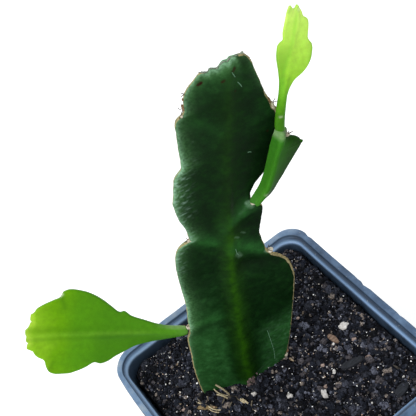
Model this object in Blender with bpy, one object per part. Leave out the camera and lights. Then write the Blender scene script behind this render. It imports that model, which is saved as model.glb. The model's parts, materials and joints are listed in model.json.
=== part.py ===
"""A potted orchid cactus: a flat notched stem with three young shoots, in a square nursery pot.

The pot stands on z = 0 with its centre on the origin. Lengths are in metres. The stem's blade has
its own directions: BLADE_ACROSS runs along the soil, up is +Z, and BLADE_FRONT points out of the
face that the shoots lean towards.
"""

import math

import bmesh
import bpy
import numpy as np
from mathutils import Vector, noise

MM = 0.001
GAP = 0.3 * MM  # between pieces that touch

# Square nursery pot
POT_HEIGHT = 88 * MM
RIM_HALF = 45 * MM  # half of the 90 mm rim
RIM_CORNER = 8 * MM
BASE_HALF = 32.5 * MM
WALL = 1.2 * MM
FLANGE = 2.7 * MM  # width of the flat top
LEDGE_DROP = 1.3 * MM  # the bead lies this far below the flange
SKIRT = 5.5 * MM
MOUTH_HALF = 40 * MM  # inner wall just under the bead
MOUTH_DROP = 3.4 * MM
DRAIN_RADIUS = 4 * MM
DRAIN_OFFSET = 17 * MM
DRAINS = (
    ("drain_front_left", -1, -1),
    ("drain_front_right", 1, -1),
    ("drain_back_left", -1, 1),
    ("drain_back_right", 1, 1),
)
CORNER_STEPS = 7

# Potting soil
SOIL_TOP = POT_HEIGHT - 6.2 * MM
SOIL_CROWN = 0.7 * MM
SOIL_CELLS = 36  # squares along one side of the relief

# Main stem, measured from the middle of its foot at the soil
STEM_FOOT = Vector((-9.2 * MM, 6.1 * MM, SOIL_TOP + SOIL_CROWN))
BLADE_HEADING = math.radians(-18)
BLADE_ACROSS = Vector((math.cos(BLADE_HEADING), math.sin(BLADE_HEADING), 0))
BLADE_FRONT = BLADE_ACROSS.cross(Vector((0, 0, 1)))
STEM_HEIGHT = 143.7 * MM
STEM_BURIED = 24 * MM
STEM_CURL = 7 * MM  # the top leans this far to the front
RIB_HALF = 3.0 * MM  # half thickness over the rib at the foot
RIB_HALF_TOP = 1.7 * MM
BLADE_HALF = 1.15 * MM  # half thickness between rib and margin
MARGIN_WAVE = 0.7 * MM

# Margins of the main stem: (height, distance along BLADE_ACROSS), in mm
LEFT_MARGIN = (
    (-24, -9), (-8, -13.6), (3.7, -15.6), (17.8, -14.6), (29.5, -12.8), (39.6, -11.3), (43.2, -9.7),
    (48.9, -8.6), (56.2, -7.1), (66.3, -6.0), (75.6, -4.7), (81.6, -3.0), (84.2, -1.0), (85.3, 2.0),
    (90.1, 2.3), (96.2, 1.7), (102.4, 1.9), (106.5, 3.1), (112.0, 5.0), (114.6, 7.6), (120.2, 8.6),
    (127.0, 9.8), (130.7, 10.6), (132.4, 13.0), (137.2, 14.4), (139.9, 16.0), (141.2, 17.3), (142.6, 18.7),
    (143.7, 20.2),
)
RIGHT_MARGIN = (
    (-24, 7), (-8, 12.4), (5.2, 16.3), (25, 22.4), (42.1, 26.4), (50.7, 27.5), (57.9, 27.0), (63.2, 24.4),
    (65.0, 22.8), (68.2, 21.7), (75.4, 21.4), (82.2, 23.2), (87.1, 24.6), (89.4, 22.8), (93.1, 22.2),
    (97.8, 24.4), (101.2, 28.0), (108.2, 31.4), (112.0, 33.0), (115.6, 33.9), (119.7, 34.5), (122.0, 34.8),
    (123.9, 34.1), (128.0, 33.3), (133.5, 32.7), (137.8, 32.2), (140.6, 31.9), (142.4, 31.2), (143.7, 30.2),
)
# How far the torn top edge sags below the stem's full height: (distance across, sag), in mm
STEM_TOP_EDGE = (
    (19.8, 0.5), (21.7, 1.6), (22.3, 0.9), (23.9, 1.6), (25.7, 0.5), (26.7, 0.8), (27.7, 0.1), (29.5, 0.2),
    (30.4, 0),
)

# Left shoot: (distance from its base, reach from its rib), in mm
LEFT_SHOOT_BASE = (-10.44, 42.63, 0.65)  # across, up and front of the stem's foot
LEFT_SHOOT_AXIS = (-0.893, 0.421, -0.159)
LEFT_SHOOT_FACE = (0.034, 0.416, 0.909)
LEFT_SHOOT_ARCH = 2 * MM
LEFT_SHOOT_LENGTH = 50.2 * MM
LEFT_SHOOT_UPPER = (
    (0, 1.2), (1, 1.6), (5.7, 1.8), (9.5, 2.5), (14, 4.0), (18.2, 5.5), (20.6, 7.1), (21.6, 6.8),
    (24.7, 9.0), (26.8, 10.8), (30.2, 13.0), (33.5, 14.3), (37.2, 14.9), (39.4, 14.2), (40.3, 12.4),
    (42.2, 11.5), (45, 10.1), (47.2, 8.6), (48.2, 7.4), (48.6, 4.6), (49.5, 3.0), (50.2, 1.4),
)
LEFT_SHOOT_LOWER = (
    (0, 1.1), (1, 1.5), (4, 2.2), (8.2, 3.0), (12.5, 3.8), (16.2, 4.8), (19.5, 6.7), (22.5, 8.5),
    (24.8, 10.2), (27, 10.9), (28.8, 10.4), (31.5, 12.0), (34.2, 13.3), (37.2, 14.1), (40.2, 14.1),
    (42.6, 13.3), (43.8, 11.2), (44.3, 8.9), (46.5, 7.5), (48.4, 5.6), (49.0, 3.2), (50.2, 1.2),
)

# Winged shoot on the right areole: across, up and front of the blade's middle, then how far the
# left wing, the front ridge and the right wing reach from that line, all in mm
WINGED_STATIONS = (
    (23.0, 90.9, 2.0, 1.1, 1.0, 1.5),
    (23.1, 91.8, 2.3, 1.3, 1.4, 2.4),
    (23.4, 93.4, 2.8, 1.2, 1.7, 3.2),
    (24.6, 96.0, 3.5, 1.1, 1.9, 3.5),
    (26.2, 99.0, 3.9, 0.9, 2.0, 3.8),
    (27.6, 102.3, 4.2, 0.8, 2.1, 4.8),
    (28.8, 105.6, 4.3, 0.7, 2.3, 6.0),
    (29.9, 108.6, 4.3, 0.8, 2.5, 7.2),
    (30.8, 111.0, 4.3, 0.8, 2.6, 8.1),
    (31.5, 112.8, 4.3, 0.9, 2.6, 8.5),
    (32.4, 114.2, 4.3, 1.2, 2.5, 7.0),
    (33.1, 115.5, 4.4, 1.5, 2.2, 3.3),
    (33.8, 117.0, 4.5, 1.6, 1.8, 1.5),
    (34.1, 118.3, 4.5, 1.4, 1.2, 1.2),
)
WING_EDGE = 0.4 * MM  # half thickness of a wing at its edge
WING_BACK = 1.7  # the left wing points this far to the back, in mm

# Lime shoot on top of the winged one: (distance from its base, reach from its rib), in mm
LIME_SHOOT_BASE = (33.9, 119.0, 9.36)
LIME_SHOOT_AXIS = (0.343, 0.936, -0.077)
LIME_SHOOT_FACE = (-0.015, 0.087, 0.996)
LIME_SHOOT_ARCH = -1.0 * MM
LIME_SHOOT_LENGTH = 32.4 * MM
LIME_SHOOT_LEFT = (
    (0, 1.4), (1, 1.6), (4.5, 1.8), (9.8, 1.7), (12.8, 1.9), (15.5, 2.4), (21.1, 3.5), (22.5, 3.5),
    (23.4, 3.1), (24.2, 2.3), (26.1, 2.5), (28.7, 2.3), (31.0, 2.1), (32.4, 1.8),
)
LIME_SHOOT_RIGHT = (
    (0, 1.1), (1, 0.9), (4.5, 0.6), (9.3, 0.5), (10.9, 0.7), (13.5, 1.7), (15.7, 3.8), (17.5, 4.9),
    (19.7, 5.4), (21.2, 5.4), (22.6, 5.1), (23.7, 4.2), (24.7, 3.8), (26.5, 3.7), (28.6, 3.4), (29.3, 2.9),
    (29.7, 2.2), (31.2, 1.5), (32.4, 0.7),
)
LIME_SHOOT_RIB = ((0, -0.2), (4.5, -0.5), (9.8, -0.6), (15, -0.2), (22, 0.1), (29.5, 0.8), (32.4, 0.3))
LIME_SHOOT_TIP = ((-1.6, 0.2), (-1.2, 0.1), (-0.6, 0.8), (-0.3, 0.9), (0.1, 0.3), (0.4, 0.0), (0.8, 0.3))
STRAIGHT = ((0, 0), (1, 0))


def clear_scene():
    for obj in list(bpy.data.objects):
        bpy.data.objects.remove(obj)


def plain_material(name, colour, roughness):
    """A Principled material from an sRGB hex colour such as "3a5f2b"."""
    made = bpy.data.materials.new(name)
    made.use_nodes = True
    shader = made.node_tree.nodes["Principled BSDF"]
    levels = [int(colour[i : i + 2], 16) / 255 for i in (0, 2, 4)]
    linear = [c / 12.92 if c <= 0.04045 else ((c + 0.055) / 1.055) ** 2.4 for c in levels]
    shader.inputs["Base Color"].default_value = (*linear, 1)
    shader.inputs["Roughness"].default_value = roughness
    shader.inputs["Metallic"].default_value = 0
    return made


def add_object(name, points, faces, material, crease=50):
    """A mesh object with outward faces, shaded smooth up to the crease angle in degrees."""
    mesh = bpy.data.meshes.new(name)
    mesh.from_pydata(points, [], faces)
    shape = bmesh.new()
    shape.from_mesh(mesh)
    bmesh.ops.recalc_face_normals(shape, faces=shape.faces)
    shape.to_mesh(mesh)
    shape.free()
    mesh.materials.append(material)
    mesh.shade_smooth()
    mesh.set_sharp_from_angle(angle=math.radians(crease))
    obj = bpy.data.objects.new(name, mesh)
    bpy.context.scene.collection.objects.link(obj)
    return obj


def cut(obj, cutter):
    """Cuts one closed shape out of another, and leaves the cutter as a hidden guide."""
    cutter.hide_render = True
    cutter.display_type = "WIRE"
    cutter.visible_shadow = False
    difference = obj.modifiers.new(cutter.name, "BOOLEAN")
    difference.operation = "DIFFERENCE"
    difference.solver = "EXACT"
    difference.object = cutter


def curve_through(knots, at):
    """A smooth curve through (position, value) pairs that never swings past them."""
    x, y = np.array(knots, float).T
    step = np.diff(x)
    slope = np.diff(y) / step
    tangent = np.zeros(len(x))
    tangent[0], tangent[-1] = slope[0], slope[-1]
    for i in range(1, len(x) - 1):
        if slope[i - 1] * slope[i] > 0:
            before = 2 * step[i] + step[i - 1]
            after = step[i] + 2 * step[i - 1]
            tangent[i] = (before + after) / (before / slope[i - 1] + after / slope[i])
    at = np.clip(at, x[0], x[-1])
    i = int(np.clip(np.searchsorted(x, at) - 1, 0, len(step) - 1))
    t = (at - x[i]) / step[i]
    return (
        (1 + 2 * t) * (1 - t) ** 2 * y[i]
        + t * (1 - t) ** 2 * step[i] * tangent[i]
        + t * t * (3 - 2 * t) * y[i + 1]
        + t * t * (t - 1) * step[i] * tangent[i + 1]
    )


def blend(a, b, share):
    return a + (b - a) * share


def smooth_step(low, high, value):
    t = min(1, max(0, (value - low) / (high - low)))
    return t * t * (3 - 2 * t)


def row_positions(knot_lists, pitch):
    """Rows at every knot, so that each notch stays crisp, with more between knots that lie far apart."""
    knots = sorted({position for knots in knot_lists for position, _ in knots})
    rows = [knots[0]]
    for position in knots[1:]:
        span = position - rows[-1]
        if span < 0.4 * pitch and position != knots[-1]:
            continue
        if span < 0.25 * pitch:
            rows.pop()
            span = position - rows[-1]
        count = max(1, round(span / pitch))
        start = rows[-1]
        rows += [start + span * (k + 1) / count for k in range(count)]
    return rows


def flat_stem(name, place, left, right, rib, half_thickness, pitch, columns, material):
    """A blade with two margins, as one closed body.

    place(along, across, front) gives a point, left, right and rib give distances across at a
    position along, and half_thickness(along, share) gives half the thickness at a share of the way
    from the rib (0) to a margin (-1 or 1). All of them work in mm.
    """
    points, front, back = [], [], []
    shares = [math.copysign(1 - (1 - abs(s)) ** 1.35, s) for s in np.linspace(-1, 1, columns)]
    for along in row_positions((left, right), pitch):
        low, high, middle = curve_through(left, along), curve_through(right, along), rib(along)
        faces = ([], [])
        for share in shares:
            across = blend(middle, high if share > 0 else low, abs(share))
            if abs(share) > 0.999:
                points.append(place(along, across, 0))
                faces[0].append(len(points) - 1)
                faces[1].append(len(points) - 1)
                continue
            half = half_thickness(along, share)
            for side, row in zip((1, -1), faces):
                points.append(place(along, across, side * half))
                row.append(len(points) - 1)
        front.append(faces[0])
        back.append(faces[1])
    triangles = []
    for side in (front, back):
        for r in range(len(side) - 1):
            for c in range(columns - 1):
                a, b = side[r][c], side[r][c + 1]
                d, e = side[r + 1][c], side[r + 1][c + 1]
                triangles += [(a, b, e), (a, e, d)] if c < columns // 2 else [(a, b, d), (b, e, d)]
    for r in (0, -1):
        for c in range(columns - 1):
            a, b, d, e = front[r][c], front[r][c + 1], back[r][c], back[r][c + 1]
            triangles += [t for t in ((a, b, e), (a, e, d)) if len(set(t)) == 3]
    return add_object(name, points, triangles, material)


def loft(name, rings, material, crease=50):
    """Joins rings of equal size into a closed body, with a flat or pointed end at each end."""
    size = len(rings[0])
    points = [p for ring in rings for p in ring]
    faces = [tuple(range(size)), tuple(range(len(points) - size, len(points)))]
    for r in range(len(rings) - 1):
        for i in range(size):
            a, b = r * size + i, r * size + (i + 1) % size
            faces.append((a, b, b + size, a + size))
    return add_object(name, points, faces, material, crease)


def rounded_square(half, corner, height):
    """Points of a square with round corners, anticlockwise."""
    ring = []
    for quarter in range(4):
        for k in range(CORNER_STEPS + 1):
            angle = math.pi / 2 * (quarter + k / CORNER_STEPS)
            x = math.copysign(half - corner, math.cos(math.pi / 2 * (quarter + 0.5)))
            y = math.copysign(half - corner, math.sin(math.pi / 2 * (quarter + 0.5)))
            ring.append((x + corner * math.cos(angle), y + corner * math.sin(angle), height))
    return ring


def wall_half(height):
    """Half width of the pot's inner wall, which tapers towards the base."""
    share = height / (POT_HEIGHT - MOUTH_DROP)
    return blend(BASE_HALF - WALL, MOUTH_HALF, share)


def pot_corner(half):
    """Corner radius of the ring that lies this far out."""
    return RIM_CORNER - (RIM_HALF - half) * 0.35


def make_pot(material):
    """One moulded shell: base, tapered wall, bead, flange and the skirt that turns down from it."""
    top = POT_HEIGHT
    lip_in = RIM_HALF - WALL
    bead = top - LEDGE_DROP
    flange_in = RIM_HALF - FLANGE
    under_ledge = top - MOUTH_DROP + 0.2 * MM
    profile = [
        (BASE_HALF - 1.0 * MM, 0),
        (BASE_HALF - 0.3 * MM, 0.3 * MM),
        (BASE_HALF, 1.0 * MM),
        (wall_half(under_ledge) + WALL, under_ledge),
        (flange_in - 0.1 * MM, bead - WALL),
        (flange_in + 0.9 * MM, top - WALL),
        (lip_in - 0.3 * MM, top - WALL),
        (lip_in, top - WALL - 0.4 * MM),
        (lip_in + 0.1 * MM, top - SKIRT),
        (RIM_HALF - 0.1 * MM, top - SKIRT),
        (RIM_HALF, top - 0.7 * MM),
        (RIM_HALF - 0.2 * MM, top - 0.2 * MM),
        (RIM_HALF - 0.7 * MM, top),
        (flange_in + 0.2 * MM, top),
        (flange_in - 0.05 * MM, top - 0.25 * MM),
        (flange_in - 0.2 * MM, bead - 0.05 * MM),
        (flange_in - 0.7 * MM, bead),
        (MOUTH_HALF + 1.1 * MM, bead - 0.1 * MM),
        (MOUTH_HALF + 0.45 * MM, bead - 0.5 * MM),
        (MOUTH_HALF + 0.1 * MM, bead - 1.2 * MM),
        (MOUTH_HALF, top - MOUTH_DROP),
        (wall_half(WALL + 2 * MM), WALL + 2 * MM),
        (wall_half(WALL) - 0.6 * MM, WALL + 0.6 * MM),
        (wall_half(WALL) - 2 * MM, WALL),
    ]
    rings = [rounded_square(half, pot_corner(half), height) for half, height in profile]
    pot = loft("square_pot", rings, material, crease=35)
    for name, x, y in DRAINS:
        rings = []
        for height in (-2 * MM, WALL + 1.5 * MM):
            angles = np.linspace(0, math.tau, 16, endpoint=False)
            circle = [(DRAIN_RADIUS * math.cos(a), DRAIN_RADIUS * math.sin(a)) for a in angles]
            rings.append([(x * DRAIN_OFFSET + dx, y * DRAIN_OFFSET + dy, height) for dx, dy in circle])
        cut(pot, loft(name, rings, material))
    return pot


def on_blade(up, across, front):
    """A point at a height and a distance across the main stem's curved blade, in mm."""
    curl = STEM_CURL * (max(up, 0) * MM / STEM_HEIGHT) ** 2
    return from_foot(across, up, front) + BLADE_FRONT * curl


def from_foot(across, up, front):
    """A point given from the stem's foot along the blade's own directions, in mm."""
    return STEM_FOOT + (BLADE_ACROSS * across + BLADE_FRONT * front + Vector((0, 0, up))) * MM


def stem_rib(up):
    """The rib leans to the right as it climbs, more so near the top."""
    return 1.0 + 0.10 * up + 0.000565 * up * up


def stem_half_thickness(up, share):
    reach = abs(share)
    rib = blend(RIB_HALF, RIB_HALF_TOP, smooth_step(0, STEM_HEIGHT / MM, up)) / MM
    body = blend(BLADE_HALF, 0.75 * MM, reach) / MM
    half = body + (rib - body) * math.exp(-((reach / 0.2) ** 2))
    narrowing = 1 - 0.45 * smooth_step(STEM_HEIGHT / MM - 6, STEM_HEIGHT / MM, up)
    return half * narrowing * (1 - 0.45 * smooth_step(0.9, 1, reach))


def stem_place(up, across, front):
    """on_blade with the margins waving a little to the front and back, as they swell between notches."""
    reach = (across - stem_rib(up)) / 18
    wave = math.sin(up / 9.5 + (1.2 if reach > 0 else 3.6)) * reach * reach * smooth_step(2, 14, up)
    sag = curve_through(STEM_TOP_EDGE, across) * smooth_step(STEM_HEIGHT / MM - 6, STEM_HEIGHT / MM, up)
    return on_blade(up - sag, across, front + MARGIN_WAVE / MM * wave)


def make_main_stem(material):
    return flat_stem(
        "main_stem", stem_place, LEFT_MARGIN, RIGHT_MARGIN, stem_rib, stem_half_thickness, 2.2, 17, material
    )


def shoot_frame(base, axis, face):
    """Turns a shoot's base and directions, given along the blade, into world space."""
    along = (from_foot(*axis) - STEM_FOOT).normalized()
    out = (from_foot(*face) - STEM_FOOT).normalized()
    return from_foot(*base), along, along.cross(out).normalized(), out


def make_shoot(name, frame, arch, length, margins, rib, tip_edge, flat_from, thickness, material):
    """A young shoot: a round stalk that flattens into a notched blade.

    rib and tip_edge hold the rib's sideways drift and how far the end sags below the full length.
    flat_from is where the stalk starts and ends to flatten, and thickness holds half the thickness
    at the blade's rib and at its margins, all in mm.
    """
    origin, along, across, out = frame
    left, right = margins
    lefts = [(position, -reach) for position, reach in left]

    def place(at, side, front):
        at -= curve_through(tip_edge, side) * smooth_step(length / MM - 4, length / MM, at)
        rise = arch * (max(at, 0) * MM / length) ** 2
        return origin + along * at * MM + across * side * MM + out * (front * MM + rise)

    def half_thickness(at, share):
        reach = (curve_through(left, at) + curve_through(right, at)) / 2
        stalk = min(reach, 1.7) * math.sqrt(max(0, 1 - share * share))
        rib, margin = thickness
        blade = margin + (rib - margin) * math.exp(-((share / 0.22) ** 2))
        blade *= 1 - 0.35 * smooth_step(0.9, 1, abs(share))
        flat = smooth_step(*flat_from, at)
        tip = 1 - 0.3 * smooth_step(length / MM - 3, length / MM, at)
        return blend(max(stalk, 0.35), blade, flat) * tip

    def drift(at):
        return curve_through(rib, at)

    return flat_stem(name, place, lefts, right, drift, half_thickness, 1.6, 13, material)


def make_winged_shoot(material):
    """A three-winged stem segment: two side wings and a front ridge round a slim core."""
    middles = [on_blade(up, across, front) for across, up, front, *_ in WINGED_STATIONS]
    rings = []
    for i, (middle, station) in enumerate(zip(middles, WINGED_STATIONS)):
        along = (middles[min(i + 1, len(middles) - 1)] - middles[max(i - 1, 0)]).normalized()
        side = along.cross(BLADE_FRONT).normalized()
        out = side.cross(along).normalized()
        left, ridge, right = station[3:]
        tips = [
            side * right * MM - out * 0.25 * right * MM,
            out * ridge * MM - side * 0.1 * ridge * MM,
            -side * left * MM - out * min(WING_BACK, 0.8 * ridge) * MM,
        ]
        rings.append([middle + point for point in wing_ring(tips)])
    return loft("winged_shoot", rings, material, crease=60)


def wing_ring(tips):
    """A closed ring through three blunt wing tips, with hollow sides between them."""
    heart = (tips[0] + tips[1] + tips[2]) / 3
    ring = []
    for k, tip in enumerate(tips):
        before, after = tips[k - 1], tips[(k + 1) % 3]
        outward = (tip - heart).normalized()
        towards = (after - before).normalized()
        blunt = min(WING_EDGE, 0.3 * (tip - heart).length)
        shoulder = tip - outward * blunt * 0.5
        ring += [shoulder - towards * blunt, tip, shoulder + towards * blunt]
        start, end = ring[-1], after - (tips[(k + 2) % 3] - tip).normalized() * blunt
        waist = start.lerp(end, 0.5).lerp(heart, 0.16)
        for step in range(1, 6):
            t = step / 6
            ring.append(start * (1 - t) ** 2 + waist * 2 * t * (1 - t) + end * t * t)
    return ring


# Loose pieces that show on the soil: centre in mm, size in mm, heading in degrees and colour
PERLITE = ("perlite_lump", (29.7, -2.4), (3.6, 3.0, 2.5), 20, "d8cdc6")
CHIPS = (
    ("wood_chip", (23.6, -3.4), (5.0, 2.1, 1.1), -80, "8d7a68"),
    ("bark_chip_right", (22.0, -15.6), (8.4, 3.0, 1.6), -15, "34302d"),
    ("bark_chip_front", (27.5, -34.0), (6.0, 3.4, 1.5), 10, "3b3733"),
    ("bark_strip", (-26.4, 6.9), (7.0, 1.8, 0.9), -42, "8a7659"),
)
# Straw: both ends as (across, front, up) from the stem's foot and half the width, in mm
STRAWS = (
    ("straw_leaning", (-10.3, 1.9, 7.5), (-7.4, 3.6, 0.5), 0.5),
    ("straw_low", (-11.4, 2.9, 3.2), (-8.2, 4.9, 0.5), 0.45),
    ("straw_flat", (-4.0, 6.7, 0.5), (-2.4, 9.5, 0.5), 0.45),
)
SEAT_MARGIN = 3.4 * MM


def seats():
    """Where the soil is level under a loose piece: centre and radius, in metres."""
    found = []
    for _, (x, y), (length, width, _), _, _ in (PERLITE, *CHIPS):
        found.append((x * MM, y * MM, max(length, width) / 2 * MM + SEAT_MARGIN))
    for _, *ends, _ in STRAWS:
        for across, front, _ in ends:
            spot = from_foot(across, 0, front)
            found.append((spot.x, spot.y, SEAT_MARGIN))
    return found


def soil_level(x, y):
    """Height of the soil without its crumbs: a low crown that falls towards the wall."""
    reach = max(abs(x), abs(y)) / wall_half(SOIL_TOP)
    return SOIL_TOP + SOIL_CROWN * (1 - reach**3) - 1.0 * MM * smooth_step(0.75, 1, reach)


def soil_height(x, y, level_spots):
    """Height of the crumbly soil, level where a loose piece rests."""
    rough = 0.75 * noise.noise((x / (13 * MM), y / (13 * MM), 3.1))
    distances, _ = noise.voronoi((x / (4.6 * MM), y / (4.6 * MM), 0.4))
    crumbs = 1.2 * (0.5 - distances[0]) + 0.4 * noise.noise((x / (2.6 * MM), y / (2.6 * MM), 8.7))
    height = soil_level(x, y) + (rough + crumbs) * MM
    for seat_x, seat_y, radius in level_spots:
        away = smooth_step(radius, radius + 3 * MM, math.hypot(x - seat_x, y - seat_y))
        height = blend(soil_level(seat_x, seat_y), height, away)
    return height


def square_to_pot(a, b, half, corner):
    """Maps a point of the square from -1 to 1 onto concentric squares with round corners."""
    size = max(abs(a), abs(b))
    if size == 0:
        return 0.0, 0.0
    radius = corner / half
    major, minor = 1.0, min(abs(a), abs(b)) / size
    if minor > 1 - radius:
        angle = math.pi / 4 * (minor - 1 + radius) / radius
        major = 1 - radius + radius * math.cos(angle)
        minor = 1 - radius + radius * math.sin(angle)
    x, y = (major, minor) if abs(a) >= abs(b) else (minor, major)
    return math.copysign(x, a) * size * half, math.copysign(y, b) * size * half


def make_soil(material):
    """Fills the pot, with a relief of crumbs on top and a plain hole for the stem's foot."""
    level_spots = seats()
    edge_height = SOIL_TOP - 1.0 * MM
    half = wall_half(edge_height) - GAP
    points, grid = [], {}
    for i in range(SOIL_CELLS + 1):
        for j in range(SOIL_CELLS + 1):
            a, b = 2 * i / SOIL_CELLS - 1, 2 * j / SOIL_CELLS - 1
            x, y = square_to_pot(a, b, half, pot_corner(half))
            at_wall = max(abs(a), abs(b)) == 1
            height = edge_height if at_wall else soil_height(x, y, level_spots)
            grid[i, j] = len(points)
            points.append((x, y, height))
    faces = []
    for i in range(SOIL_CELLS):
        for j in range(SOIL_CELLS):
            a, b, c, d = grid[i, j], grid[i + 1, j], grid[i + 1, j + 1], grid[i, j + 1]
            faces += [(a, b, c), (a, c, d)] if (i + j) % 2 else [(a, b, d), (b, c, d)]
    n = SOIL_CELLS
    edge = [(i, 0) for i in range(n)] + [(n, j) for j in range(n)]
    edge += [(i, n) for i in range(n, 0, -1)] + [(0, j) for j in range(n, 0, -1)]
    floor_height = WALL + GAP
    ring = [grid[spot] for spot in edge]
    for height in (WALL + 2.4 * MM, floor_height):
        floor_half = wall_half(height) - GAP if height > floor_height else wall_half(WALL) - 2.6 * MM
        lower = []
        for i, j in edge:
            a, b = 2 * i / n - 1, 2 * j / n - 1
            lower.append(len(points))
            points.append((*square_to_pot(a, b, floor_half, pot_corner(floor_half)), height))
        for k in range(len(ring)):
            following = (k + 1) % len(ring)
            faces.append((ring[k], lower[k], lower[following], ring[following]))
        ring = lower
    faces.append(tuple(ring))
    soil = add_object("potting_soil", points, faces, material, crease=80)
    cut(soil, make_foot_hole(material))
    return soil


def make_foot_hole(material):
    """The shape of the stem's foot with a gap all round, from below its end to above the soil."""
    clear = GAP / MM + 0.1
    heights = (-(STEM_BURIED / MM) - clear, -16, -8, 0, 7)
    left = [(up, curve_through(LEFT_MARGIN, max(up, -24)) - clear) for up in heights]
    right = [(up, curve_through(RIGHT_MARGIN, max(up, -24)) + clear) for up in heights]

    def half(up, share):
        return stem_half_thickness(up, share) + clear * (1 - 0.3 * abs(share))

    return flat_stem("foot_hole", on_blade, left, right, stem_rib, half, 8, 15, material)


def make_perlite(name, spot, size, heading, material):
    """A puffed, knobbly white lump that rests on a flat spot."""
    shape = bmesh.new()
    bmesh.ops.create_icosphere(shape, subdivisions=2, radius=1)
    for vert in shape.verts:
        knob = 1 + 0.22 * noise.noise(vert.co * 1.9 + Vector((4.2, 0, 0)))
        across, aside, up = (vert.co[k] * knob * size[k] / 2 for k in range(3))
        vert.co = on_soil(spot, heading, across, aside, max(up, -0.3 * size[2]) + 0.3 * size[2])
    bmesh.ops.recalc_face_normals(shape, faces=shape.faces)
    points = [vert.co.copy() for vert in shape.verts]
    faces = [tuple(vert.index for vert in face.verts) for face in shape.faces]
    shape.free()
    return add_object(name, points, faces, material, crease=40)


def on_soil(spot, heading, along, aside, up):
    """A point beside a spot on the soil, turned by the heading; up is from just above the soil."""
    turn = math.radians(heading)
    x = (spot[0] + along * math.cos(turn) - aside * math.sin(turn)) * MM
    y = (spot[1] + along * math.sin(turn) + aside * math.cos(turn)) * MM
    return x, y, soil_level(spot[0] * MM, spot[1] * MM) + GAP + up * MM


def make_chip(name, spot, size, heading, material):
    """A splintered chip: a flat prism with a ragged outline, thinner towards its ends."""
    sides = 10
    rings = []
    for level in (0.0, 0.45, 1.0):
        ring = []
        for k in range(sides):
            along, aside = math.cos(math.tau * k / sides), math.sin(math.tau * k / sides)
            ragged = 1 + 0.18 * noise.noise((along * 1.7 + spot[0], aside * 1.7, level))
            reach = ragged * (1 - 0.22 * abs(level - 0.45)) / 2
            lift = size[2] * level * (1 - 0.25 * level * abs(along))
            squarish = [math.copysign(abs(part) ** 0.8, part) for part in (along, aside)]
            ring.append(
                on_soil(spot, heading, squarish[0] * size[0] * reach, squarish[1] * size[1] * reach, lift)
            )
        rings.append(ring)
    return loft(name, rings, material, crease=30)


def make_straw(name, start, end, radius, material):
    """A short piece of dry straw, slightly bowed, with cut ends."""
    a, b = (from_foot(across, up, front) for across, front, up in (start, end))
    along = (b - a).normalized()
    side = along.cross(Vector((0, 0, 1))).normalized()
    up = side.cross(along).normalized()
    rings = []
    for k in range(6):
        t = k / 5
        middle = a.lerp(b, t) + up * 0.5 * MM * math.sin(math.pi * t)
        ring = []
        for j in range(6):
            angle = math.tau * j / 6
            ring.append(middle + (side * math.cos(angle) + up * 0.7 * math.sin(angle)) * radius * MM)
        rings.append(ring)
    return loft(name, rings, material)


def main():
    clear_scene()
    make_pot(plain_material("black_polypropylene", "2a323c", 0.4))
    make_soil(plain_material("potting_soil", "26231f", 0.95))
    make_main_stem(plain_material("dark_green_skin", "1d4a22", 0.35))
    make_shoot(
        "left_shoot",
        shoot_frame(LEFT_SHOOT_BASE, LEFT_SHOOT_AXIS, LEFT_SHOOT_FACE),
        LEFT_SHOOT_ARCH,
        LEFT_SHOOT_LENGTH,
        (LEFT_SHOOT_LOWER, LEFT_SHOOT_UPPER),
        STRAIGHT,
        STRAIGHT,
        (5, 15),
        (1.15, 0.7),
        plain_material("bright_green_skin", "559a1c", 0.4),
    )
    make_winged_shoot(plain_material("mid_green_skin", "2f7a20", 0.4))
    make_shoot(
        "lime_shoot",
        shoot_frame(LIME_SHOOT_BASE, LIME_SHOOT_AXIS, LIME_SHOOT_FACE),
        LIME_SHOOT_ARCH,
        LIME_SHOOT_LENGTH,
        (LIME_SHOOT_LEFT, LIME_SHOOT_RIGHT),
        LIME_SHOOT_RIB,
        LIME_SHOOT_TIP,
        (9, 15),
        (0.75, 0.5),
        plain_material("lime_skin", "95d53c", 0.4),
    )
    name, spot, size, heading, colour = PERLITE
    make_perlite(name, spot, size, heading, plain_material("perlite", colour, 0.9))
    for name, spot, size, heading, colour in CHIPS:
        make_chip(name, spot, size, heading, plain_material(name, colour, 0.9))
    for name, start, end, radius in STRAWS:
        make_straw(name, start, end, radius, plain_material(name, "b09a72", 0.8))


main()
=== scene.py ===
# %% [markdown]
# # A potted orchid cactus
#
# A young orchid cactus stands in a square nursery pot: one broad, dark, notched stem that was once
# a cutting, and three pale shoots that grow from its areoles, the small felted cushions in the
# notches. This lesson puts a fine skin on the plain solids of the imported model. Every piece below
# follows the same measured outlines as its solid, with more points, relief and a material that is
# made of nodes alone.

import json
import math

import bmesh
import bpy
import numpy as np
from mathutils import Matrix, Vector, noise
from mathutils.bvhtree import BVHTree

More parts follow.
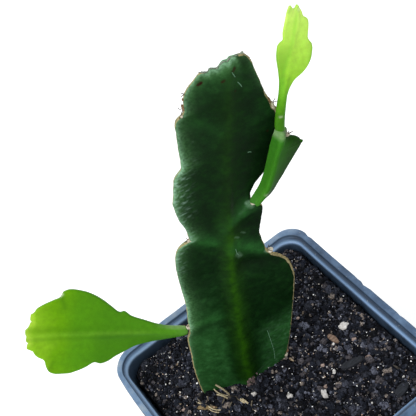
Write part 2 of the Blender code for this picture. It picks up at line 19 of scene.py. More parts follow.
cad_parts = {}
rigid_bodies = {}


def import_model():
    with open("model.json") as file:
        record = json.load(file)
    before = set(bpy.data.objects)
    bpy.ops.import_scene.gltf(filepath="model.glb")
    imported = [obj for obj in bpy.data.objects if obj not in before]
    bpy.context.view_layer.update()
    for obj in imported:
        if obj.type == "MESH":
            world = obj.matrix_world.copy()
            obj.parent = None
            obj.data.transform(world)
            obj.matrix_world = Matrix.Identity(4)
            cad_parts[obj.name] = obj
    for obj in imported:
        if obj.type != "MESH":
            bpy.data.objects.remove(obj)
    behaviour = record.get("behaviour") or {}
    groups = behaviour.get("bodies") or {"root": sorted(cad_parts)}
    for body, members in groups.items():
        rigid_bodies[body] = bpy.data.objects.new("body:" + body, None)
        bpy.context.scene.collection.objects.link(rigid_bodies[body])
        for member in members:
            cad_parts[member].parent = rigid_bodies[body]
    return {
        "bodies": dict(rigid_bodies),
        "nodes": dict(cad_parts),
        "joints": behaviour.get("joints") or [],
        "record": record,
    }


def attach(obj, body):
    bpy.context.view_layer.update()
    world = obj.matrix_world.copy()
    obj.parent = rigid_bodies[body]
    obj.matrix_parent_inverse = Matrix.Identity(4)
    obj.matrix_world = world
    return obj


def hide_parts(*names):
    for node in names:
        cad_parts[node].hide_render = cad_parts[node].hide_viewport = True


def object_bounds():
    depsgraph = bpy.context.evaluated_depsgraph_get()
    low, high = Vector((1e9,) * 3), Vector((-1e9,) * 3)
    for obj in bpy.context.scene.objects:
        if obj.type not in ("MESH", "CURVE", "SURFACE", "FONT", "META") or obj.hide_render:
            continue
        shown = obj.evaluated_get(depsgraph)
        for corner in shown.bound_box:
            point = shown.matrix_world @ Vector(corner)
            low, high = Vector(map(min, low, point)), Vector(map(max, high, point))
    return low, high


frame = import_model()
cad_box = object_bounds()
MM = 0.001
cad_mm = [[round(c / MM, 1) for c in corner] for corner in cad_box]
print("solids:", len(frame["nodes"]), "box in mm:", cad_mm)

# %% [markdown]
# ## Tools for the bench
#
# Colours are given as sRGB hex values, but light adds up in linear numbers, so one function
# turns the first into the second. Another adds a node with its settings and its links: every
# material and every Geometry Nodes tree below is written with it, which keeps them short enough to
# read from top to bottom. An input is given as a value, as a socket, or simply as the node before
# it, and then the first output that this node has in use is meant.

# %% Colours and nodes


def linear(hex_colour):
    """An sRGB hex colour such as "3a5f2b" as the linear RGBA that a socket takes."""
    levels = [int(hex_colour[i : i + 2], 16) / 255 for i in (0, 2, 4)]
    return (*[c / 12.92 if c <= 0.04045 else ((c + 0.055) / 1.055) ** 2.4 for c in levels], 1)


def wire(tree, node, inputs):
    """Sets inputs to values, or links them to sockets or to other nodes' first output in use."""
    for name, value in inputs.items():
        if isinstance(value, bpy.types.Node):
            value = next(socket for socket in value.outputs if socket.enabled)
        if isinstance(value, bpy.types.NodeSocket):
            tree.links.new(value, node.inputs[name])
        else:
            node.inputs[name].default_value = value


def add_node(tree, kind, inputs=None, stops=None, **settings):
    """Adds a node with its settings and links. Stops are a colour ramp's (position, hex colour)."""
    node = tree.nodes.new(kind)
    for name, value in settings.items():
        setattr(node, name, value)
    wire(tree, node, inputs or {})
    for i, (position, colour) in enumerate(stops or ()):
        band = node.color_ramp.elements
        stop = band[i] if i < len(band) else band.new(position)
        stop.position, stop.color = position, linear(colour)
    return node


def start_material(name, roughness, ior=1.45, specular=0.5):
    """A new material with its Principled shader and the coordinates of its piece."""
    material = bpy.data.materials.new(name)
    material.use_nodes = True
    tree = material.node_tree
    shader = tree.nodes["Principled BSDF"]
    wire(tree, shader, {"Roughness": roughness, "IOR": ior, "Specular IOR Level": specular})
    return material, tree, shader, add_node(tree, "ShaderNodeTexCoord")


print("0.5 grey in linear light:", round(linear("808080")[0], 3))

# %% [markdown]
# ## From numbers to a mesh
#
# The outlines are short lists of measured points, and a curve that never swings past them joins
# them, so a notch stays a notch.

# %% Curves


def curve_through(knots, at):
    """A smooth curve through (position, value) pairs, read at one position or at many."""
    x, y = np.array(knots, float).T
    step = np.diff(x)
    slope = np.diff(y) / step
    tangent = np.concatenate(([slope[0]], np.zeros(len(x) - 2), [slope[-1]]))
    for i in range(1, len(x) - 1):
        if slope[i - 1] * slope[i] > 0:
            before = 2 * step[i] + step[i - 1]
            after = step[i] + 2 * step[i - 1]
            tangent[i] = (before + after) / (before / slope[i - 1] + after / slope[i])
    at = np.clip(at, x[0], x[-1])
    i = np.clip(np.searchsorted(x, at) - 1, 0, len(step) - 1)
    t = (at - x[i]) / step[i]
    start = (1 + 2 * t) * (1 - t) ** 2 * y[i] + t * (1 - t) ** 2 * step[i] * tangent[i]
    return start + t * t * (3 - 2 * t) * y[i + 1] + t * t * (t - 1) * step[i] * tangent[i + 1]


def smooth_step(low, high, value):
    """Climbs softly from 0 at low to 1 at high. It falls where low is the higher of the two."""
    t = np.clip((value - low) / (high - low), 0, 1)
    return t * t * (3 - 2 * t)


def blend(a, b, share):
    """Goes from a to b as the share goes from 0 to 1."""
    return a + (b - a) * share


print("the curve through 0, 1 and 4 passes", curve_through(((0, 0), (1, 1), (2, 4)), 1.5).round(2))

# %% [markdown]
# The mesh maker closes a piece, turns its faces outwards and shades it smooth, except over edges
# that are sharper than its crease angle. Most pieces are tubes of some kind: rings of points, joined
# by quads. A finished piece then rides on the plant's one body.

# %% Meshes


def mesh_object(name, points, faces, material, crease=60):
    """A closed mesh object at the origin, with its points given in millimetres."""
    mesh = bpy.data.meshes.new(name)
    mesh.from_pydata([tuple(p) for p in np.array(points, float) * MM], [], faces)
    shape = bmesh.new()
    shape.from_mesh(mesh)
    bmesh.ops.recalc_face_normals(shape, faces=shape.faces)
    shape.to_mesh(mesh)
    shape.free()
    mesh.materials.append(material)
    mesh.shade_smooth()
    mesh.set_sharp_from_angle(angle=math.radians(crease))
    obj = bpy.data.objects.new(name, mesh)
    bpy.context.scene.collection.objects.link(obj)
    return obj


def tube_faces(rings, size):
    """The quads that join each ring of points to the next one."""
    faces = []
    for r in range(rings - 1):
        for i in range(size):
            a, b = r * size + i, r * size + (i + 1) % size
            faces.append((a, b, b + size, a + size))
    return faces


def end_caps(count, size):
    """A face over the first ring of a tube and one over its last."""
    return [tuple(range(size)), tuple(range(count - size, count))]


def add_values(obj, name, values):
    """Stores one number for each point, for the piece's material to read."""
    attribute = obj.data.attributes.new(name, "FLOAT", "POINT")
    attribute.data.foreach_set("value", np.asarray(values, np.float32).ravel())


def settle(obj, slot, *nodes):
    """Fixes a finished piece to the plant's one body, in place of the named solids."""
    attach(obj, "root")
    if nodes:
        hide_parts(*nodes)
    print(obj.name, "has", sum(len(p.vertices) - 2 for p in obj.data.polygons), "triangles")


print("a tube of 3 rings of 8 points has", len(tube_faces(3, 8)), "quads")

# %% [markdown]
# ## Growing small things with Geometry Nodes
#
# Soil crumbs, cork warts and bristles repeat by the hundred, so a tree of nodes makes them from a
# guide mesh: a patch of soil, or chains of edges that may carry a width. A modifier runs the tree,
# its result is kept as a plain mesh, and the guide is thrown away. The inputs of the tree are set by
# each socket's identifier, because two sockets may share a name.

# %% Run a tree on a guide


def start_tree(name, inputs):
    """An empty tree that takes a mesh and the named inputs, and gives a mesh."""
    tree = bpy.data.node_groups.new(name, "GeometryNodeTree")
    tree.interface.new_socket("Geometry", in_out="OUTPUT", socket_type="NodeSocketGeometry")
    tree.interface.new_socket("Geometry", in_out="INPUT", socket_type="NodeSocketGeometry")
    for label, kind in inputs:
        tree.interface.new_socket(label, in_out="INPUT", socket_type="NodeSocket" + kind)
    return tree, add_node(tree, "NodeGroupInput").outputs, add_node(tree, "NodeGroupOutput")


def discard(guide):
    """Throws away a helper object and its mesh."""
    mesh = guide.data
    bpy.data.objects.remove(guide)
    bpy.data.meshes.remove(mesh)


def grow(name, guide, tree, **values):
    """Runs a tree on a guide, keeps only the plain mesh that it makes, and drops the guide."""
    modifier = guide.modifiers.new(tree.name, "NODES")
    modifier.node_group = tree
    for socket in tree.interface.items_tree:
        label = socket.name.lower().replace(" ", "_")
        if socket.in_out == "INPUT" and label in values:
            modifier[socket.identifier] = values[label]
    evaluated = guide.evaluated_get(bpy.context.evaluated_depsgraph_get())
    mesh = bpy.data.meshes.new_from_object(evaluated)
    guide.modifiers.remove(modifier)
    mesh.name = name
    obj = bpy.data.objects.new(name, mesh)
    bpy.context.scene.collection.objects.link(obj)
    discard(guide)
    return obj


def strands_guide(strands):
    """One mesh of separate chains of edges, given in millimetres."""
    points, edges = [], []
    for strand in strands:
        edges += [(len(points) + i, len(points) + i + 1) for i in range(len(strand) - 1)]
        points += [tuple(np.asarray(p) * MM) for p in strand]
    mesh = bpy.data.meshes.new("guide")
    mesh.from_pydata(points, edges, [])
    guide = bpy.data.objects.new("guide", mesh)
    bpy.context.scene.collection.objects.link(guide)
    return guide


print("a tree runs on its guide once, and leaves a plain mesh")

# %% [markdown]
# Crumbs and warts are both made from faceted balls. One helper puts a ball on every point and makes
# the copies real, and the other gives each of their corners a push by noise.

# %% Steps that the trees share


def balls_on(tree, spots, facets, turn, scale):
    """A real faceted ball on every spot, with its own turn and scale."""
    ball = add_node(tree, "GeometryNodeMeshIcoSphere", {"Radius": 1.0, "Subdivisions": facets})
    inputs = {"Points": spots, "Instance": ball, "Rotation": turn, "Scale": scale}
    heap = add_node(tree, "GeometryNodeInstanceOnPoints", inputs)
    return add_node(tree, "GeometryNodeRealizeInstances", {"Geometry": heap})


def corner_jitter(tree, width, raggedness):
    """A push for each corner, by coloured noise of a width in millimetres."""
    place = add_node(tree, "GeometryNodeInputPosition")
    chips = add_node(tree, "ShaderNodeTexNoise", {"Vector": place, "Scale": 1 / (width * MM), "Detail": 2})
    inputs = {0: chips.outputs["Color"], 1: (0.5, 0.5, 0.5)}
    centred = add_node(tree, "ShaderNodeVectorMath", inputs, operation="SUBTRACT")
    return add_node(tree, "ShaderNodeVectorMath", {0: centred, "Scale": raggedness}, operation="SCALE")


print("the trees share the balls and the push")

# %% [markdown]
# ## The pot's plastic
#
# Nursery pots are moulded from black polypropylene. It is slightly waxy, so its reflections are
# soft. Outdoors a film of dust and lime settles on every level face, and with a painted reflection
# of a pale blue sky it turns slate blue. A mask on the upward part of the normal lays that film on
# the rim, and keeps it off the walls. The film is thickest and brightest on the left and back, where
# the mesh asks for more dust and painted sheen, streaky at about 6 mm, and specked with dried soil.
# Two ramps lay out the bead and the step beside it in narrow bands, by their reach from the middle
# of the pot: a painted highlight along the crest of the bead and painted shade in the step. Where
# there is more dust and sheen, the highlight is brighter and the shade fainter.

# %% Dusty black polypropylene with painted sheen


def dusty_polypropylene_painted_sheen():
    """Polypropylene has an IOR of 1.49. Smooth moulding and dust give it a roughness near 0.4."""
    material, tree, shader, place = start_material("dusty_black_polypropylene", 0.4, 1.49, 0.45)
    spot = place.outputs["Object"]
    streaks, specks = (
        add_node(
            tree,
            "ShaderNodeTexNoise",
            {"Vector": spot, "Scale": 1 / (width * MM), "Detail": detail, "Roughness": uneven},
        )
        for width, detail, uneven in ((6, 6, 0.6), (0.9, 3, 0.7))
    )
    facing = add_node(tree, "ShaderNodeSeparateXYZ", {0: place.outputs["Normal"]})
    # Level faces get the film: dust and lime, and a painted reflection of a pale blue sky
    level = add_node(tree, "ShaderNodeMapRange", {0: facing.outputs["Z"], 1: 0.1, 2: 0.8})
    reach, dusty = (
        add_node(tree, "ShaderNodeAttribute", attribute_name=each).outputs["Fac"]
        for each in ("reach_mm", "dusty")
    )
    # The walls' own black plastic, then the film of dust and painted sheen, thin and thick
    wall, thin_dusty_sheen, thick_dusty_sheen = (
        add_node(tree, "ShaderNodeValToRGB", {0: streaks}, stops=stops)
        for stops in (
            ((0.35, "1f2935"), (0.7, "344457")),
            ((0.3, "324860"), (0.5, "445c7a"), (0.7, "5d7897")),
            ((0.3, "57708e"), (0.48, "6e89a8"), (0.6, "8597aa"), (0.72, "98a0a6")),
        )
    )
    # Painted highlight on the crest of the bead and painted shade in the step beside it; where dust and sheen
    # are more, the crest is brighter and the step less dark
    across_rim = add_node(tree, "ShaderNodeMapRange", {0: reach, 1: 40.0, 2: 43.0})
    bright_bead_shaded_step, dusty_bright_bead_faint_step = (
        add_node(tree, "ShaderNodeValToRGB", {0: across_rim}, stops=stops)
        for stops in (
            ((0.0, "6f8db4"), (0.14, "93b4de"), (0.28, "6584a8"), (0.42, "3d526b"), (0.64, "26354a"),
             (0.85, "435b77")),
            ((0.0, "7693b8"), (0.12, "a3c2e6"), (0.28, "7e9bbd"), (0.45, "5d7795"), (0.66, "4f6785"),
             (0.85, "6a85a3")),
        )
    )
    bead = add_node(tree, "ShaderNodeMix", {0: dusty, 6: bright_bead_shaded_step, 7: dusty_bright_bead_faint_step}, data_type="RGBA")
    film = add_node(tree, "ShaderNodeMix", {0: dusty, 6: thin_dusty_sheen, 7: thick_dusty_sheen}, data_type="RGBA")
    on_flange = add_node(tree, "ShaderNodeMapRange", {0: reach, 1: 42.3, 2: 42.7})
    rim = add_node(tree, "ShaderNodeMix", {0: on_flange, 6: bead, 7: film}, data_type="RGBA")
    clean = add_node(tree, "ShaderNodeMix", {0: level, 6: wall, 7: rim}, data_type="RGBA")
    specked = add_node(tree, "ShaderNodeMapRange", {0: specks, 1: 0.66, 2: 0.74, 4: 0.8})
    dirt = add_node(tree, "ShaderNodeMath", {0: specked, 1: level}, operation="MULTIPLY")
    colour = add_node(tree, "ShaderNodeMix", {0: dirt, 6: clean, 7: linear("b4b3ac")}, data_type="RGBA")
    gloss = add_node(tree, "ShaderNodeMapRange", {0: streaks, 1: 0.3, 2: 0.7, 3: 0.3, 4: 0.5})
    grain = add_node(tree, "ShaderNodeBump", {"Height": specks, "Distance": 0.05 * MM, "Strength": 0.6})
    wire(tree, shader, {"Base Color": colour, "Roughness": gloss, "Normal": grain})
    return material


pot_plastic = dusty_polypropylene_painted_sheen()
print("film streaks every 6 mm, specks every 0.9 mm")

# %% [markdown]
# ## The pot
#
# The pot is one thin shell: base, tapered wall, a rounded bead round the mouth, a flat flange and
# a skirt that turns down from it. A profile of (half width, height) pairs is swept round a square
# with soft corners, because the form is the same all round.

# %% The pot's profile
POT_HEIGHT, RIM_HALF, RIM_CORNER, BASE_HALF, WALL = 88, 45, 8, 32.5, 1.2
MOUTH_HALF, MOUTH_DROP, LEDGE_DROP, FLANGE, SKIRT = 40, 3.4, 1.3, 2.7, 5.5
CORNER_STEPS, SIDE_STEPS = 14, 44


def rounded_square(half, corner):
    """Points round a square with soft corners, with steps along its sides as well."""
    ring = []
    for quarter in range(4):
        turn = math.pi / 2 * quarter
        middle = (half - corner) * math.sqrt(2)
        centre = (middle * math.cos(turn + math.pi / 4), middle * math.sin(turn + math.pi / 4))
        for k in range(CORNER_STEPS):
            angle = turn + math.pi / 2 * k / CORNER_STEPS
            ring.append((centre[0] + corner * math.cos(angle), centre[1] + corner * math.sin(angle)))
        end = turn + math.pi / 2
        start = (centre[0] + corner * math.cos(end), centre[1] + corner * math.sin(end))
        for k in range(SIDE_STEPS):
            slide = 2 * (half - corner) * k / SIDE_STEPS
            ring.append((start[0] - slide * math.sin(end), start[1] + slide * math.cos(end)))
    return np.array(ring)


def wall_half(height):
    """Half width of the pot's inner wall, which tapers towards the base."""
    return blend(BASE_HALF - WALL, MOUTH_HALF, height / (POT_HEIGHT - MOUTH_DROP))


def pot_corner(half):
    """The corners grow tighter towards the base, as the walls taper."""
    return RIM_CORNER - (RIM_HALF - half) * 0.35


def pot_profile():
    """(half width, height) pairs, up the outside, over the rim and down the inside."""
    top, bead = POT_HEIGHT, POT_HEIGHT - LEDGE_DROP
    lip, flange = RIM_HALF - WALL, RIM_HALF - FLANGE
    under = top - MOUTH_DROP + 0.2
    outside = [(31.5, 0), (32.2, 0.3), (32.5, 1.0)]
    outside += [(wall_half(h) + WALL, h) for h in np.linspace(4, under - 2, 14)]
    outside += [(wall_half(under) + WALL, under), (flange - 0.1, bead - WALL), (flange + 0.9, top - WALL)]
    skirt = [(lip - 0.3, top - WALL), (lip, top - 1.6), (lip + 0.05, top - 3.5), (lip + 0.1, top - SKIRT)]
    skirt += [(lip + 0.5, top - SKIRT - 0.15), (44.8, top - SKIRT - 0.05), (44.9, top - SKIRT + 0.2)]
    skirt += [(44.95, top - 3), (45, top - 0.7), (44.93, top - 0.4), (44.8, top - 0.18), (44.6, top - 0.05)]
    flat = [(44.3, top), (43.7, top + 0.02), (43.1, top), (flange + 0.3, top - 0.01)]
    step = [(flange + 0.1, top - 0.08), (flange - 0.05, top - 0.3), (flange - 0.12, bead + 0.15)]
    step += [(flange - 0.35, bead), (flange - 0.7, bead + 0.03), (41.2, bead), (40.8, bead - 0.2)]
    inside = [(40.45, bead - 0.5), (40.2, bead - 0.9), (40.1, bead - 1.4), (40, top - MOUTH_DROP)]
    inside += [(wall_half(h), h) for h in np.linspace(top - 6, 4, 14)]
    inside += [(wall_half(3.2), 3.2), (wall_half(1.8) - 0.3, 2.2), (wall_half(1.2) - 0.9, 1.6)]
    return outside + skirt + flat + step + inside + [(wall_half(1.2) - 2, 1.2)]


print("the profile has", len(pot_profile()), "points, and each ring", 4 * (CORNER_STEPS + SIDE_STEPS))

# %% [markdown]
# Real nursery pots are never quite true, so the fine points along each side let the rim wave by a
# fraction of a millimetre, and nick the outer edge of the flange. The left corner is worn round and
# the mouth stretched a little, as on the real one.

# %% Sweep the pot's shell
WAVE, NICK, DENT, WORN = 0.22, 0.55, 0.12, 1.1  # mm that the rim is out of true
PROUD_RIGHT, PROUD_LEFT = 0.5, 0.9  # mm that the mouth is stretched


def settle_rim(x, y, half, height):
    """A used pot is out of true: its left corner is worn round, and its mouth is stretched sideways."""
    soft = smooth_step(55, 84, height)
    outer = min(1, max(0, (half - 40) / 5))
    at_right, at_left = smooth_step(28, 40, x), smooth_step(-30, -39, x)
    x += PROUD_RIGHT * soft * at_right - PROUD_LEFT * soft * (1 - outer) * at_left
    worn = soft * outer * math.exp(-(((x + 42) ** 2 + (y - 42) ** 2) / 90))
    return x + WORN * worn, y - WORN * worn


def make_pot():
    """Sweeps the profile, and stores how far out each of its points is, and how much dust and painted sheen
    it gets.
    """
    points, reaches, dust_and_sheen_shares = [], [], []
    profile = pot_profile()
    for half, height in profile:
        ring = rounded_square(half, pot_corner(half))
        for x, y in ring:
            wave = WAVE * noise.noise((x / 21, y / 21, height / 60))
            nick = 0.0
            if half > 44 and height > POT_HEIGHT - 1.5:
                chip = noise.noise((x / 2.1, y / 2.1, 7.0))
                nick = NICK * max(0, chip - 0.32) / 0.4
            out = 1 + (wave - nick) / half
            dent = DENT * noise.noise((x / 9, y / 9, 2.0)) if height > POT_HEIGHT - 2 else 0
            points.append((*settle_rim(x * out, y * out, half, height), height + min(0, dent) - 0.5 * nick))
            reaches.append(half)
            # More dust and more painted sheen on the left and back of the rim
            dust_and_sheen_shares.append(max(smooth_step(25, -30, x), 0.8 * smooth_step(38, 42, y)))
    size = 4 * (CORNER_STEPS + SIDE_STEPS)
    faces = end_caps(len(points), size) + tube_faces(len(profile), size)
    pot = mesh_object("pot_shell", points, faces, pot_plastic, crease=80)
    add_values(pot, "reach_mm", reaches)
    add_values(pot, "dusty", dust_and_sheen_shares)
    return pot


pot = make_pot()
print("the shell has", len(pot.data.polygons), "faces")

# %% [markdown]
# Four drainage holes go through the base. A Boolean modifier cuts them, its result is kept as the
# pot's mesh, and the cutters are thrown away.

# %% Drill the drainage holes
HOLE_REACH, HOLE_RADIUS, HOLE_SIDES = 17, 4, 40  # how far out they are, and the points round each


def drill(obj, centre, radius, low, high):
    """Cuts a round hole and rounds nothing else: moulded holes have crisp edges."""
    ring = [(math.cos(a), math.sin(a)) for a in np.linspace(0, math.tau, HOLE_SIDES, endpoint=False)]
    points = [(centre[0] + radius * x, centre[1] + radius * y, z) for z in (low, high) for x, y in ring]
    faces = end_caps(len(points), HOLE_SIDES) + tube_faces(2, HOLE_SIDES)
    cutter = mesh_object("cutter", points, faces, pot_plastic)
    cut = obj.modifiers.new("drain", "BOOLEAN")
    cut.operation, cut.solver, cut.object = "DIFFERENCE", "EXACT", cutter
    evaluated = obj.evaluated_get(bpy.context.evaluated_depsgraph_get())
    old, obj.data = obj.data, bpy.data.meshes.new_from_object(evaluated)
    obj.modifiers.remove(cut)
    bpy.data.meshes.remove(old)
    discard(cutter)


for x in (-HOLE_REACH, HOLE_REACH):
    for y in (-HOLE_REACH, HOLE_REACH):
        drill(pot, (x, y), HOLE_RADIUS, -2, 2.7)
settle(pot, "pot_plastic", "square_pot")

# %% [markdown]
# ## The soil's material
#
# Potting soil is peat and composted bark, nearly black when moist, with brown fibres, grey grit
# and pale sand. The bed under the loose crumbs only shows in gaps, so it is dark, rough and
# mottled at the size of a crumb, with a bump at the size of a grain.

# %% Moist peat


def moist_peat():
    """Peat is matt, with an IOR near 1.4 where it is wet, so it hardly shines."""
    material, tree, shader, place = start_material("moist_peat", 0.95, 1.4, 0.15)
    inputs = {"Vector": place.outputs["Object"], "Scale": 1 / (2.2 * MM), "Detail": 6, "Roughness": 0.75}
    clods = add_node(tree, "ShaderNodeTexNoise", inputs)
    stops = ((0.34, "060608"), (0.5, "131317"), (0.6, "27272c"), (0.72, "4a4747"))
    colour = add_node(tree, "ShaderNodeValToRGB", {0: clods}, stops=stops)
    rough = add_node(tree, "ShaderNodeBump", {"Height": clods, "Distance": 0.5 * MM, "Strength": 0.8})
    wire(tree, shader, {"Base Color": colour, "Normal": rough})
    return material


peat = moist_peat()
print("peat clods every 2.2 mm")

# %% [markdown]
# ## The bed of soil
#
# The bed is a low crown that falls towards the wall, with lumps made by noise and by cells. Its
# first two layers of relief are those of the solid, so both have the same form, and the rest is
# finer: crumbs heaped against the foot of the stem, and banked up along two walls.

# %% The height of the soil
SOIL_TOP, SOIL_CROWN, GAP = 81.8, 0.7, 0.3
FOOT = np.array([-9.2, 6.1, SOIL_TOP + SOIL_CROWN])
HEADING = math.radians(-18)
ACROSS = np.array([math.cos(HEADING), math.sin(HEADING), 0])
FRONT = np.array([math.sin(HEADING), -math.cos(HEADING), 0])
UP = np.array([0, 0, 1.0])
FOOT_HEAP, SIDE_HEAP = 1.5, 2.2  # how high the crumbs lie in front of the foot, and more at its ends
BANK_RIGHT, BANK_BACK = 2.0, 1.0  # how high they are banked up along two walls
# Layers of relief, from the coarsest: height and width in mm
SWELLS, CLODS, RIPPLES, CRUMBS, GRAINS = (0.75, 13), (1.2, 4.6), (0.4, 2.6), (0.5, 1.7), (0.15, 1)
# Loose pieces that lie on level spots: centre, and how far the level reaches, in mm
LEVEL_SPOTS = (
    (29.7, -2.4, 5.2), (23.6, -3.4, 5.9), (22.0, -15.6, 7.6), (27.5, -34.0, 6.4), (-26.4, 6.9, 6.9),
)


def soil_level(x, y):
    """The smooth crown of the bed, on which the loose pieces lie."""
    reach = max(abs(x), abs(y)) / wall_half(SOIL_TOP)
    return SOIL_TOP + SOIL_CROWN * (1 - reach**3) - smooth_step(0.75, 1, reach)


def soil_height(x, y):
    """The bed with its lumps, level where a loose piece lies, heaped at the foot and banked up."""
    swell = SWELLS[0] * noise.noise((x / SWELLS[1], y / SWELLS[1], 3.1))
    clod = CLODS[0] * (0.5 - noise.voronoi((x / CLODS[1], y / CLODS[1], 0.4))[0][0])
    ripple = RIPPLES[0] * noise.noise((x / RIPPLES[1], y / RIPPLES[1], 8.7))
    height = soil_level(x, y) + swell + clod + ripple
    for seat_x, seat_y, radius in LEVEL_SPOTS:
        away = smooth_step(radius, radius + 3, math.hypot(x - seat_x, y - seat_y))
        height = blend(soil_level(seat_x, seat_y), height, away)
    fine = CRUMBS[0] * (0.5 - noise.voronoi((x / CRUMBS[1], y / CRUMBS[1], 4.4))[0][0])
    fine += GRAINS[0] * noise.noise((x / GRAINS[1], y / GRAINS[1], 1.7))
    offset = np.array((x, y, 0)) - FOOT
    beside = max(0, abs(offset @ ACROSS) - 14)
    heap = FOOT_HEAP + SIDE_HEAP * smooth_step(7, 15, abs(offset @ ACROSS))
    heap *= math.exp(-((offset @ FRONT) ** 2 + beside**2) / 14)
    bank = BANK_RIGHT * smooth_step(27, 38, x) + BANK_BACK * smooth_step(30, 38, y)
    return height + fine + heap + bank


print("the crown of the soil is", round(float(soil_level(0, 0)), 1), "mm up")

# %% [markdown]
# The grid is mapped onto concentric squares with round corners, so that it fills the pot from wall
# to wall, and it is closed below down to the base.

# %% Lay the bed


def square_to_pot(a, b, half, corner):
    """Maps a point of the square from -1 to 1 onto concentric squares with round corners."""
    size = max(abs(a), abs(b), 1e-9)
    radius = corner / half
    major, minor = 1.0, min(abs(a), abs(b)) / size
    if minor > 1 - radius:
        angle = math.pi / 4 * (minor - 1 + radius) / radius
        major = 1 - radius + radius * math.cos(angle)
        minor = 1 - radius + radius * math.sin(angle)
    x, y = (major, minor) if abs(a) >= abs(b) else (minor, major)
    return math.copysign(x, a) * size * half, math.copysign(y, b) * size * half


def soil_grid(cells, half):
    """A grid of points over the soil inside a given half width, and its quads."""
    corner = pot_corner(half)
    spots = [
        square_to_pot(2 * i / cells - 1, 2 * j / cells - 1, half, corner)
        for i in range(cells + 1)
        for j in range(cells + 1)
    ]
    points = [(x, y, soil_height(x, y)) for x, y in spots]
    row = cells + 1
    faces = [
        (i * row + j, (i + 1) * row + j, (i + 1) * row + j + 1, i * row + j + 1)
        for i in range(cells)
        for j in range(cells)
    ]
    return points, faces


def make_soil_bed(cells=190):
    """Closes the grid with two rings down the wall and a bottom."""
    half = wall_half(SOIL_TOP) - GAP
    points, faces = soil_grid(cells, half)
    row = cells + 1
    border = [(i, 0) for i in range(cells)] + [(cells, j) for j in range(cells)]
    border += [(i, cells) for i in range(cells, 0, -1)] + [(0, j) for j in range(cells, 0, -1)]
    ring = [i * row + j for i, j in border]
    for k in ring:
        points[k] = (points[k][0], points[k][1], points[k][2] - 0.5)
    for height, half in ((WALL + 2.4, wall_half(3.6) - GAP), (WALL + GAP, wall_half(WALL) - 2.6)):
        lower = []
        for i, j in border:
            lower.append(len(points))
            spot = square_to_pot(2 * i / cells - 1, 2 * j / cells - 1, half, pot_corner(half))
            points.append((*spot, height))
        for k in range(len(ring)):
            after = (k + 1) % len(ring)
            faces.append((ring[k], lower[k], lower[after], ring[after]))
        ring = lower
    faces.append(tuple(ring))
    return mesh_object("soil_bed", points, faces, peat, crease=180)


soil_bed = make_soil_bed()
settle(soil_bed, "potting_soil", "potting_soil")

# %% [markdown]
# ## Loose crumbs, grit and fibres
#
# A plain bed reads as felt. What makes soil look like soil is that it is a heap of separate grains
# of many sizes, each catching a little light and casting a little shade. A tree scatters points on
# the bed, puts a faceted grain on each with its own turn, size and proportions, makes the copies
# real, and then shifts their corners by noise, so that no two grains are alike. Each grain also
# keeps a random number, its tone, from which the material picks one of the colours of the mix.

# %% The tree that scatters grains


def grain_scatter():
    """Small grains are common and large ones rare. Sink lifts or lowers all of them."""
    tree, given, result = start_tree(
        "grain_scatter",
        (
            ("Density", "Float"),
            ("Smallest", "Float"),
            ("Largest", "Float"),
            ("Proportions", "Vector"),
            ("Raggedness", "Float"),
            ("Sink", "Float"),
            ("Facets", "Int"),
            ("Seed", "Int"),
            ("Material", "Material"),
        ),
    )
    inputs = {"Mesh": given["Geometry"], "Density": given["Density"], "Seed": given["Seed"]}
    spots = add_node(tree, "GeometryNodeDistributePointsOnFaces", inputs)
    tone = add_node(tree, "FunctionNodeRandomValue", {"Seed": given["Seed"]}, data_type="FLOAT")
    inputs = {"Geometry": spots, "Name": "tone", "Value": tone}
    toned = add_node(tree, "GeometryNodeStoreNamedAttribute", inputs, data_type="FLOAT", domain="POINT")
    luck = add_node(tree, "FunctionNodeRandomValue", {"Seed": 11}, data_type="FLOAT")
    rare = add_node(tree, "ShaderNodeMath", {0: luck, 1: 2.2}, operation="POWER")
    size = add_node(tree, "ShaderNodeMapRange", {0: rare, 3: given["Smallest"], 4: given["Largest"]})
    uneven, turn = (
        add_node(tree, "FunctionNodeRandomValue", {0: low, 1: high, "Seed": seed}, data_type="FLOAT_VECTOR")
        for low, high, seed in (
            ((0.7, 0.7, 0.7), (1.25, 1.25, 1.25), 12),
            ((-0.5, -0.5, 0), (0.5, 0.5, math.tau), 13),
        )
    )
    inputs = {0: uneven, 1: given["Proportions"]}
    proportions = add_node(tree, "ShaderNodeVectorMath", inputs, operation="MULTIPLY")
    scale = add_node(tree, "ShaderNodeVectorMath", {0: proportions, "Scale": size}, operation="SCALE")
    grains = balls_on(tree, toned, given["Facets"], turn, scale)
    jitter = corner_jitter(tree, 0.65, given["Raggedness"])
    down = add_node(tree, "ShaderNodeCombineXYZ", {"Z": given["Sink"]})
    shift = add_node(tree, "ShaderNodeVectorMath", {0: jitter, 1: down}, operation="ADD")
    moved = add_node(tree, "GeometryNodeSetPosition", {"Geometry": grains, "Offset": shift})
    inputs = {"Geometry": moved, "Material": given["Material"]}
    wire(tree, result, {0: add_node(tree, "GeometryNodeSetMaterial", inputs)})
    return tree


scatter_tree = grain_scatter()
print("scatter inputs:", [s.name for s in scatter_tree.interface.items_tree if s.in_out == "INPUT"])

# %% [markdown]
# ## What the grains are made of
#
# One function makes the material of each mix from its list of tones. The tone picks a step of a
# ramp that doesn't blend, as one grain is of one stuff, and noise at 0.6 mm then mottles it, so
# even a grain of one stuff isn't flat.

# %% The mixes


